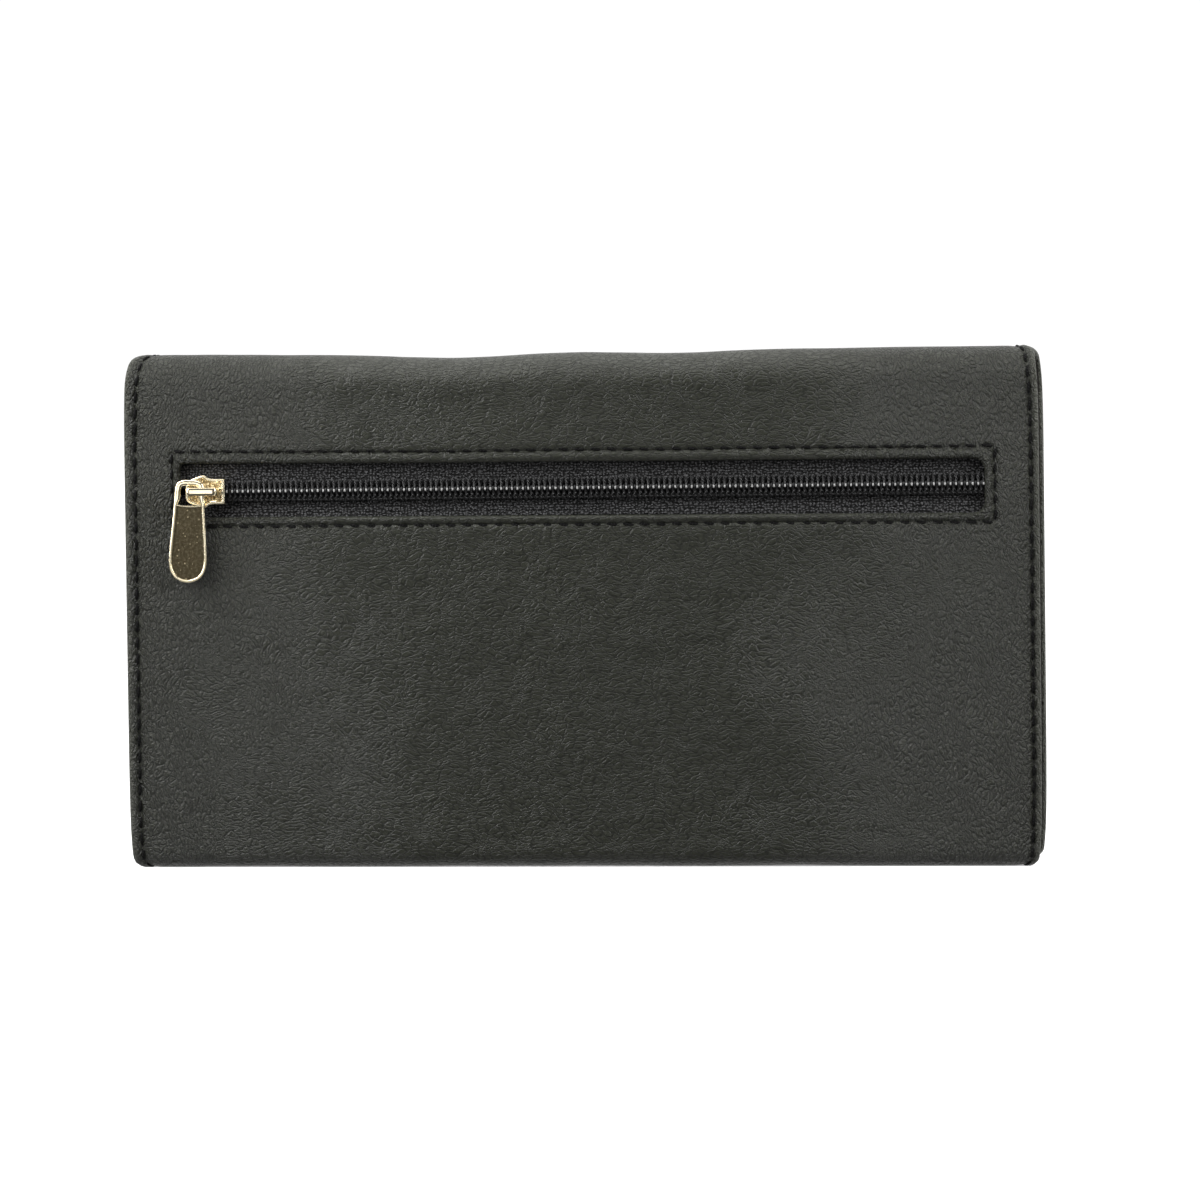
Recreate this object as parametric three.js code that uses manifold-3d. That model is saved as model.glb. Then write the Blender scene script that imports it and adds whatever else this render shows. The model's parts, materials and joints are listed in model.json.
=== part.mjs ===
// A long flap wallet with a zipped pocket in its back, standing closed on its bottom fold.
//
// Millimetres, +Z up. X runs along the zip, and the zip side faces -Y. The origin is the middle of the
// footprint at the height of the surface that the wallet stands on. Every layer's place is a depth,
// measured from the outer face of the back leather towards the front flap.
import * as THREE from "three";
import { mergeVertices } from "three/addons/utils/BufferGeometryUtils.js";
import Module from "manifold-3d";

const wasm = await Module();
wasm.setup();

// ---- Driving dimensions ----

const WIDTH = 190;
const HEIGHT = 106.5;
const GAP = 0.3; // between pieces that touch on the real wallet
const TOP_BEND = 7; // outer radius of the two folds over the top
const BOTTOM_BEND = 3; // outer radius of the two folds under the bottom
const OUTER_LEATHER = 1.2;
const FRONT_LEATHER = 1;
const FLAP_HEM_Z = 0.3; // the flap's free edge, close enough to the table to steady the wallet

// The layers from back to front, each with its thickness and the clearance after it.
const LAYERS = [
  ["backLeather", OUTER_LEATHER, GAP],
  ["zipTape", 0.4, GAP],
  ["pocketFront", 0.3, 0],
  ["pocketSpace", 4.8, 0],
  ["pocketRear", 0.3, GAP],
  ["backWall", 0.6, GAP],
  ["cardTier1", 0.4, GAP],
  ["cardTier2", 0.4, GAP],
  ["cardTier3", 0.4, 0],
  ["rearSpace", 4.6, 0],
  ["divider", 0.8, 0],
  ["frontSpace", 4.6, 0],
  ["frontLining", 0.4, GAP],
  ["frontBoard", 0.4, GAP],
  ["frontLeather", FRONT_LEATHER, GAP],
  ["snapSocket", 0.8, GAP],
  ["snapStud", 0.8, GAP],
  ["flapLining", 0.4, GAP],
  ["flapBoard", 0.4, GAP],
  ["flapLeather", OUTER_LEATHER, 0],
];
const layer = {};
let thicknessSoFar = 0;
for (const [name, thickness, clearance] of LAYERS) {
  layer[name] = { from: thicknessSoFar, to: thicknessSoFar + thickness };
  thicknessSoFar += thickness + clearance;
}
const DEPTH = thicknessSoFar;
const FRONT_FACE = layer.frontLeather.to; // outer face of the body's front wall, under the flap

// The zip window in the back, and the zip behind it.
const ZIP_Z = 78.4;
const WINDOW_X = 0.4; // middle of the window
const WINDOW_LENGTH = 167;
const WINDOW_HEIGHT = 11.3;
const WINDOW_CORNER = 1.5;
const TAPE_WIDTH = 11.2; // one half of the zip, measured from the coil's edge outwards
const TAPE_LENGTH = 176;
const COIL_WIDTH = 1.6; // one half
const COIL_THICKNESS = 0.9;
const COIL_JOIN = 0.2; // between the two closed halves
const ZIP_PARTING = 3.6; // how far each half draws aside, behind the leather, when the zip is open

// The slider, its bail and its pull.
const SLIDER_LEFT = -82;
const SLIDER_LENGTH = 8.4;
const SHOULDER_WIDTH = 6.8;
const TAIL_WIDTH = 5.3;
const SLIDER_PLATE = 0.9;
const SLIDER_CHANNEL = 2.1; // between its two plates
const BAIL_LENGTH = 6.4;
const BAIL_WIDTH = 1.7;
const BAIL_PILLAR = 1;
const BAIL_BAR = 0.9;
const PULL_THICKNESS = 1;
const BAIL_PROUD = SLIDER_PLATE + PULL_THICKNESS + 2 * GAP + BAIL_BAR; // of the back leather
const PILLAR_X = SLIDER_LEFT + 0.75 + BAIL_PILLAR / 2; // the pull hangs on this left pillar
const PULL_X = PILLAR_X;
const PULL_TOP_Z = ZIP_Z + 2.5;
const PULL_LENGTH = 21.4;
const PULL_NECK_WIDTH = 6;
const PULL_END_WIDTH = 7.9;

// The inside.
const FLOOR_Z = 2.2;
const POCKET_WIDTH = 180;
const WALL_TOP_Z = 97;
const GUSSET_FOOT_Z = 5;
const GUSSET_HEIGHT = 86;
const CARD_WIDTH = 87;
const CARD_TOPS = [88, 77, 66];
const SNAP_Z = 24;
const SNAP_RADIUS = 7;
const WASHER_RADIUS = 6;

// ---- Materials ----

function finish(color, roughness, metalness = 0) {
  return new THREE.MeshStandardMaterial({ color, roughness, metalness });
}

const leather = finish(0x3d3e39, 0.55);
const lining = finish(0x2a2a2b, 0.9);
const board = finish(0x6d675c, 0.95);
const tapeCloth = finish(0x232323, 0.9);
const nylon = finish(0x1c1c1c, 0.35);
const gold = finish(0xc9a45e, 0.25, 1);
const steel = finish(0xa8a9ab, 0.35, 1);
const clearFilm = finish(0xd9dde0, 0.15);

// ---- Solids ----

// A closed geometry as a manifold-3d solid.
function toSolid(geometry) {
  const bare = geometry.clone().deleteAttribute("normal").deleteAttribute("uv");
  const merged = mergeVertices(bare, 1e-4);
  return new wasm.Manifold(
    new wasm.Mesh({
      numProp: 3,
      vertProperties: merged.attributes.position.array,
      triVerts: new Uint32Array(merged.index.array),
    }),
  );
}

function toGeometry(solid) {
  const mesh = solid.getMesh();
  const geometry = new THREE.BufferGeometry();
  geometry.setAttribute("position", new THREE.BufferAttribute(mesh.vertProperties, 3));
  geometry.setIndex(new THREE.BufferAttribute(mesh.triVerts, 1));
  geometry.computeVertexNormals();
  return geometry;
}

function join(...geometries) {
  return toGeometry(geometries.map(toSolid).reduce((all, one) => all.add(one)));
}

function cut(geometry, ...cutters) {
  return toGeometry(cutters.map(toSolid).reduce((left, one) => left.subtract(one), toSolid(geometry)));
}

// An outline drawn in X and Z, made into a plate between two depths.
function plate(outline, from, to, curveSegments = 6) {
  const geometry = new THREE.ExtrudeGeometry(outline, {
    depth: to - from,
    bevelEnabled: false,
    curveSegments,
  });
  return geometry.rotateX(Math.PI / 2).translate(0, to, 0);
}

// An outline drawn in depth and Z, made into a bar that runs along X.
function bar(outline, length) {
  const geometry = new THREE.ExtrudeGeometry(outline, { depth: length, bevelEnabled: false });
  const alongX = new THREE.Matrix4().makeBasis(
    new THREE.Vector3(0, 1, 0),
    new THREE.Vector3(0, 0, 1),
    new THREE.Vector3(1, 0, 0),
  );
  return geometry.applyMatrix4(alongX).translate(-length / 2, 0, 0);
}

function rectangle(left, right, bottom, top, corner = 0) {
  const shape = new THREE.Shape();
  if (corner === 0) {
    shape.moveTo(left, bottom).lineTo(right, bottom).lineTo(right, top).lineTo(left, top);
    return shape;
  }
  shape.moveTo(left + corner, bottom).lineTo(right - corner, bottom);
  shape.absarc(right - corner, bottom + corner, corner, -Math.PI / 2, 0);
  shape.lineTo(right, top - corner);
  shape.absarc(right - corner, top - corner, corner, 0, Math.PI / 2);
  shape.lineTo(left + corner, top);
  shape.absarc(left + corner, top - corner, corner, Math.PI / 2, Math.PI);
  shape.lineTo(left, bottom + corner);
  shape.absarc(left + corner, bottom + corner, corner, Math.PI, 1.5 * Math.PI);
  return shape;
}

// A flat layer of the wallet, centred on X unless it is moved.
function sheet(place, width, bottom, top, corner = 0, middle = 0) {
  const outline = rectangle(middle - width / 2, middle + width / 2, bottom, top, corner);
  return plate(outline, place.from, place.to);
}

// A strip of leather that runs straight between bends. Each bend has its centre, its outer radius and
// the directions of the outward normal at its start and end, and the strip follows them in turn.
function bentStrip(bends, thickness, width = WIDTH, steps = 6) {
  const outer = [];
  const inner = [];
  for (const { depth, z, radius, start, end } of bends) {
    const count = start === end ? 0 : steps;
    for (let i = 0; i <= count; i++) {
      const angle = THREE.MathUtils.degToRad(start + ((end - start) * i) / Math.max(count, 1));
      const outward = new THREE.Vector2(Math.cos(angle), Math.sin(angle));
      const centre = new THREE.Vector2(depth, z);
      outer.push(centre.clone().addScaledVector(outward, radius));
      inner.push(centre.clone().addScaledVector(outward, radius - thickness));
    }
  }
  const outline = new THREE.Shape([...outer, ...inner.reverse()]);
  return bar(outline, width);
}

function disc(radius, from, to, x = 0, z = SNAP_Z) {
  const geometry = new THREE.CylinderGeometry(radius, radius, to - from, 32);
  return geometry.translate(x, (from + to) / 2, z);
}

// ---- The wallet as a scene graph ----

const wallet = new THREE.Group();
wallet.position.y = (BAIL_PROUD - DEPTH) / 2; // depth 0 is here, so that Y = 0 is the middle

function add(name, geometry, material) {
  const mesh = new THREE.Mesh(geometry, material);
  mesh.name = name;
  wallet.add(mesh);
}

// The bends of the outer leather. Its four walls part halfway round each bend, half a gap from it.
const halfGapAtTop = THREE.MathUtils.radToDeg(GAP / 2 / (TOP_BEND - OUTER_LEATHER));
const halfGapAtBottom = THREE.MathUtils.radToDeg(GAP / 2 / (BOTTOM_BEND - OUTER_LEATHER));
const topBack = { depth: TOP_BEND, z: HEIGHT - TOP_BEND, radius: TOP_BEND };
const topFront = { ...topBack, depth: DEPTH - TOP_BEND };
const bottomBack = { depth: BOTTOM_BEND, z: BOTTOM_BEND, radius: BOTTOM_BEND };
const bottomFront = { ...bottomBack, depth: FRONT_FACE - BOTTOM_BEND };

function addOuterLeather() {
  const window = sheet(
    { from: -1, to: OUTER_LEATHER + 1 },
    WINDOW_LENGTH,
    ZIP_Z - WINDOW_HEIGHT / 2,
    ZIP_Z + WINDOW_HEIGHT / 2,
    WINDOW_CORNER,
    WINDOW_X,
  );
  const back = bentStrip(
    [
      { ...bottomBack, start: 225 - halfGapAtBottom, end: 180 },
      { ...topBack, start: 180, end: 135 + halfGapAtTop },
    ],
    OUTER_LEATHER,
  );
  add("back_panel", cut(back, window), leather);
  add(
    "bottom_panel",
    bentStrip(
      [
        { ...bottomFront, start: 315 - halfGapAtBottom, end: 270 },
        { ...bottomBack, start: 270, end: 225 + halfGapAtBottom },
      ],
      OUTER_LEATHER,
    ),
    leather,
  );
  add(
    "top_panel",
    bentStrip(
      [
        { ...topBack, start: 135 - halfGapAtTop, end: 90 },
        { ...topFront, start: 90, end: 45 + halfGapAtTop },
      ],
      OUTER_LEATHER,
    ),
    leather,
  );
  add(
    "flap_panel",
    bentStrip(
      [
        { ...topFront, start: 45 - halfGapAtTop, end: 0 },
        { ...topFront, z: FLAP_HEM_Z, start: 0, end: 0 },
      ],
      OUTER_LEATHER,
    ),
    leather,
  );
  add(
    "front_panel",
    bentStrip(
      [
        { ...bottomFront, z: WALL_TOP_Z, start: 0, end: 0 },
        { ...bottomFront, start: 0, end: -45 + halfGapAtBottom },
      ],
      FRONT_LEATHER,
    ),
    leather,
  );
}

// The bag of the zip pocket: its two faces, its sides and its bottom.
function addPocketBag() {
  const foot = 5;
  const windowFoot = ZIP_Z - WINDOW_HEIGHT / 2;
  add("pocket_lining_front", sheet(layer.pocketFront, POCKET_WIDTH, foot, windowFoot - 1, 2), lining);
  add("pocket_lining_rear", sheet(layer.pocketRear, POCKET_WIDTH, foot, WALL_TOP_Z, 2), lining);
  const across = { from: OUTER_LEATHER + GAP, to: layer.pocketRear.to };
  add("pocket_bottom", sheet(across, POCKET_WIDTH, foot - GAP - 0.4, foot - GAP), lining);
  const sideMiddle = POCKET_WIDTH / 2 + GAP + 0.2;
  add("pocket_side_left", sheet(across, 0.4, foot, WALL_TOP_Z, 0, -sideMiddle), lining);
  add("pocket_side_right", sheet(across, 0.4, foot, WALL_TOP_Z, 0, sideMiddle), lining);
}

function addLinings() {
  const tapeFoot = ZIP_Z - COIL_WIDTH - TAPE_WIDTH;
  add("back_board", sheet(layer.zipTape, POCKET_WIDTH, 6, tapeFoot - ZIP_PARTING - 2, 2), board);
  add("bottom_lining", floorSheet(), lining);
  add("top_lining", topLining(), lining);
  const snapHole = disc(WASHER_RADIUS + 0.6, layer.frontBoard.from - 1, layer.frontBoard.to + 1);
  add("front_board", cut(sheet(layer.frontBoard, 180, 8, WALL_TOP_Z - 3, 2), snapHole), board);
  add("front_lining", sheet(layer.frontLining, 184, 4, WALL_TOP_Z - 0.5, 1), lining);
  const flapHole = disc(WASHER_RADIUS + 0.6, layer.flapBoard.from - 1, layer.flapBoard.to + 1);
  add("flap_board", cut(sheet(layer.flapBoard, 180, 6, 94, 2), flapHole), board);
  add("flap_lining", sheet(layer.flapLining, 184, 4, 97, 1), lining);
}

function floorSheet() {
  const outline = new THREE.Shape();
  const from = layer.backWall.from;
  const to = bottomFront.depth - 0.5;
  const bottom = OUTER_LEATHER + GAP;
  outline.moveTo(from, bottom).lineTo(to, bottom).lineTo(to, bottom + 0.4).lineTo(from, bottom + 0.4);
  return bar(outline, 180);
}

function topLining() {
  const outline = new THREE.Shape();
  const top = HEIGHT - OUTER_LEATHER - GAP;
  const [from, to] = [topBack.depth, topFront.depth];
  outline.moveTo(from, top - 0.4).lineTo(to, top - 0.4).lineTo(to, top).lineTo(from, top);
  return bar(outline, 184);
}

// The inner wall with its card slots, three tiers in two columns, each tier lower than the one behind.
function addCardWall() {
  add("inner_back_wall", sheet(layer.backWall, 182, FLOOR_Z, WALL_TOP_Z, 1), lining);
  CARD_TOPS.forEach((top, tier) => {
    for (const [side, direction] of [["left", -1], ["right", 1]]) {
      const middle = (direction * (CARD_WIDTH + 1.2)) / 2;
      const place = layer[`cardTier${tier + 1}`];
      add(`card_slot_${side}_${tier + 1}`, sheet(place, CARD_WIDTH, 4, top, 1.5, middle), leather);
    }
  });
}

function addDividers() {
  add("divider", sheet(layer.divider, 174, FLOOR_Z + 0.4, WALL_TOP_Z - 2, 1.5), lining);
  add("gusset_left", gusset(-1), lining);
  add("gusset_right", gusset(1), lining);
}

// A side wall folded in a W, which lets the two compartments spread.
function gusset(direction) {
  const outside = WIDTH / 2 - 1.8;
  const inside = outside - 4.6;
  const halfAcross = 0.4; // along X, where the slanting cloth measures twice its own thickness
  const first = layer.backWall.to + GAP;
  const last = layer.frontLining.from - GAP;
  const folds = [0, 1, 2, 3, 4].map((i) => [
    direction * (i % 2 ? inside : outside),
    first + ((last - first) * i) / 4,
  ]);
  const oneFace = folds.map(([x, depth]) => new THREE.Vector2(x - halfAcross, depth));
  const otherFace = folds.map(([x, depth]) => new THREE.Vector2(x + halfAcross, depth));
  const outline = new THREE.Shape([...oneFace, ...otherFace.reverse()]);
  const geometry = new THREE.ExtrudeGeometry(outline, { depth: GUSSET_HEIGHT, bevelEnabled: false });
  return geometry.translate(0, 0, GUSSET_FOOT_Z);
}

// The zip: each half is a woven tape with half of the coil sewn along its edge.
function addZip() {
  const coilLeft = SLIDER_LEFT + 3; // the closed stretch starts at the slider's post
  const coilRight = WINDOW_X + WINDOW_LENGTH / 2 - 0.5;
  const inner = COIL_JOIN / 2;
  const coilPlace = { from: layer.zipTape.from - GAP - COIL_THICKNESS, to: layer.zipTape.from - GAP };
  for (const [half, direction] of [["upper", 1], ["lower", -1]]) {
    const tapeEdge = COIL_WIDTH / 2 - inner; // under the coil, short of the slider's post
    const tape = [ZIP_Z + direction * tapeEdge, ZIP_Z + direction * (COIL_WIDTH + TAPE_WIDTH)];
    tape.sort((a, b) => a - b);
    add(`zip_tape_${half}`, sheet(layer.zipTape, TAPE_LENGTH, ...tape), tapeCloth);
    const coil = [ZIP_Z + direction * inner, ZIP_Z + direction * (inner + COIL_WIDTH)];
    coil.sort((a, b) => a - b);
    const outline = rectangle(coilLeft, coilRight, ...coil, 0.3);
    add(`zip_coil_${half}`, plate(outline, coilPlace.from, coilPlace.to, 3), nylon);
  }
}

// The slider's outline from in front: two round shoulders on the left, a narrower square tail.
function sliderOutline(inset = 0) {
  const shape = new THREE.Shape();
  const shoulder = SHOULDER_WIDTH / 2 - inset;
  const tail = TAIL_WIDTH / 2 - inset;
  const left = SLIDER_LEFT + inset;
  const right = SLIDER_LEFT + SLIDER_LENGTH - inset;
  const lobe = 1.3;
  shape.moveTo(right, ZIP_Z - tail).lineTo(right, ZIP_Z + tail);
  shape.lineTo(left + 2.6 * lobe, ZIP_Z + tail + 0.2);
  shape.lineTo(left + lobe, ZIP_Z + shoulder);
  shape.absarc(left + lobe, ZIP_Z + shoulder - lobe, lobe, Math.PI / 2, 1.25 * Math.PI);
  shape.lineTo(left + 1.1, ZIP_Z);
  shape.absarc(left + lobe, ZIP_Z - shoulder + lobe, lobe, 0.75 * Math.PI, 1.5 * Math.PI);
  shape.lineTo(left + 2.6 * lobe, ZIP_Z - tail - 0.2);
  return shape;
}

function addSlider() {
  const overlap = 0.05; // pieces of one casting run into each other by this much
  const topPlate = plate(sliderOutline(), -SLIDER_PLATE, 0, 8);
  const bottomPlate = plate(sliderOutline(0.3), SLIDER_CHANNEL, SLIDER_CHANNEL + 0.7, 8);
  const postLeft = SLIDER_LEFT + 1.2;
  const post = rectangle(postLeft, postLeft + 1.5, ZIP_Z - 0.5, ZIP_Z + 0.5, 0.3);
  const parts = [topPlate, bottomPlate, plate(post, -overlap, SLIDER_CHANNEL + overlap, 3)];
  for (const side of [-1, 1]) {
    const edge = ZIP_Z + side * (TAIL_WIDTH / 2);
    const flange = [edge, edge - side * 0.5].sort((a, b) => a - b);
    const outline = rectangle(SLIDER_LEFT + 3.6, SLIDER_LEFT + SLIDER_LENGTH, ...flange);
    parts.push(plate(outline, -overlap, layer.zipTape.from - GAP));
  }
  const barBack = -(BAIL_PROUD - BAIL_BAR);
  const bailLeft = PILLAR_X - BAIL_PILLAR / 2;
  const bailHeight = [ZIP_Z - BAIL_WIDTH / 2, ZIP_Z + BAIL_WIDTH / 2];
  const bail = rectangle(bailLeft, bailLeft + BAIL_LENGTH, ...bailHeight, 0.4);
  parts.push(plate(bail, -BAIL_PROUD, barBack, 4));
  for (const left of [bailLeft, bailLeft + BAIL_LENGTH - BAIL_PILLAR]) {
    const pillar = rectangle(left, left + BAIL_PILLAR, ...bailHeight, 0.3);
    parts.push(plate(pillar, barBack - overlap, -SLIDER_PLATE + overlap, 4));
  }
  add("zip_slider", join(...parts), gold);
}

// The pull: a narrow ring at the top that widens into a leaf with a round end.
function pullOutline(inset) {
  const shape = new THREE.Shape();
  const neck = PULL_NECK_WIDTH / 2 - inset;
  const end = PULL_END_WIDTH / 2 - inset;
  const top = PULL_TOP_Z - inset;
  const endZ = PULL_TOP_Z - PULL_LENGTH + PULL_END_WIDTH / 2; // centre of the round end
  const corner = 1.2;
  shape.moveTo(PULL_X - end, endZ);
  shape.absarc(PULL_X, endZ, end, Math.PI, 2 * Math.PI);
  shape.lineTo(PULL_X + neck, top - 6);
  shape.lineTo(PULL_X + neck, top - corner);
  shape.absarc(PULL_X + neck - corner, top - corner, corner, 0, Math.PI / 2);
  shape.lineTo(PULL_X - neck + corner, top);
  shape.absarc(PULL_X - neck + corner, top - corner, corner, Math.PI / 2, Math.PI);
  shape.lineTo(PULL_X - neck, top - 6);
  return shape;
}

function addPull() {
  const faceDepth = -SLIDER_PLATE - GAP - PULL_THICKNESS;
  const body = plate(pullOutline(0), faceDepth, faceDepth + PULL_THICKNESS, 12);
  const ringWidth = PULL_NECK_WIDTH / 2 - 1.1;
  const ring = rectangle(PULL_X - ringWidth, PULL_X + ringWidth, PULL_TOP_Z - 5.7, PULL_TOP_Z - 1, 0.8);
  const ringHole = plate(ring, faceDepth - 1, faceDepth + PULL_THICKNESS + 1, 4);
  const below = plate(
    rectangle(PULL_X - 10, PULL_X + 10, PULL_TOP_Z - 40, PULL_TOP_Z - 6.6),
    faceDepth - 1,
    faceDepth + 1,
  );
  const rimmed = toSolid(plate(pullOutline(0.55), faceDepth - 1, faceDepth + 0.25, 12));
  const leaf = toGeometry(rimmed.intersect(toSolid(below)));
  add("zip_pull", cut(body, ringHole, leaf), gold);
}

// Radius against depth, turned about an axis that runs through the leather at the snap.
function turned(profile) {
  const points = profile.map(([radius, depth]) => new THREE.Vector2(radius, depth));
  return new THREE.LatheGeometry(points, 32).translate(0, 0, SNAP_Z);
}

function addSnap() {
  const { from: socketBack, to: socketFront } = layer.snapSocket;
  const { from: studFace, to: studBack } = layer.snapStud;
  const boss = 2.8;
  const recess = boss + 0.5;
  const recessFloor = socketFront - 0.6;
  const bossEnd = socketFront - 0.3;
  add(
    "snap_socket",
    turned([[0, socketBack], [SNAP_RADIUS, socketBack], [SNAP_RADIUS, socketFront - 0.2],
      [SNAP_RADIUS - 0.3, socketFront], [recess, socketFront], [recess, recessFloor], [0, recessFloor]]),
    gold,
  );
  add(
    "snap_stud",
    turned([[0, bossEnd], [boss, bossEnd], [boss, studFace], [SNAP_RADIUS - 0.3, studFace],
      [SNAP_RADIUS, studFace + 0.2], [SNAP_RADIUS, studBack], [0, studBack]]),
    gold,
  );
  add("snap_socket_washer", disc(WASHER_RADIUS, layer.frontBoard.from, layer.frontBoard.to), steel);
  add("snap_stud_washer", disc(WASHER_RADIUS, layer.flapBoard.from, layer.flapBoard.to), steel);
}

// Inside the flap: a framed identity-card window on the left and two card slots on the right.
function addFlapPockets() {
  const against = layer.flapLining.from - GAP;
  const place = { from: against - 0.4, to: against };
  const [left, right, bottom, top] = [-86, -6, 38, 94];
  const opening = rectangle(left + 8, right - 8, bottom + 8, top - 8, 2);
  const frame = cut(
    plate(rectangle(left, right, bottom, top, 2), place.from, place.to),
    plate(opening, place.from - 1, place.to + 1),
  );
  add("id_frame", frame, leather);
  const film = rectangle(left + 8.3, right - 8.3, bottom + 8.3, top - 8.3, 1.7);
  add("id_film", plate(film, place.from + 0.1, place.to - 0.05), clearFilm);
  add("flap_card_slot_1", sheet(place, 80, 38, 94, 2, 46), leather);
  const front = { from: place.from - GAP - 0.4, to: place.from - GAP };
  add("flap_card_slot_2", sheet(front, 80, 38, 80, 2, 46), leather);
}

addOuterLeather();
addPocketBag();
addLinings();
addCardWall();
addDividers();
addZip();
addSlider();
addPull();
addSnap();
addFlapPockets();

export default wallet;
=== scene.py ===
"""The looks of a long flap wallet with a zipped pocket in its back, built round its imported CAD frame.

Lengths are in millimetres until a mesh is made, in the frame's own axes: X runs along the zip, +Y points from
the zip side towards the flap, and Z is up. Every leather is one bent slab, laid along a profile in Y and Z.
"""
import json
import math

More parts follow.
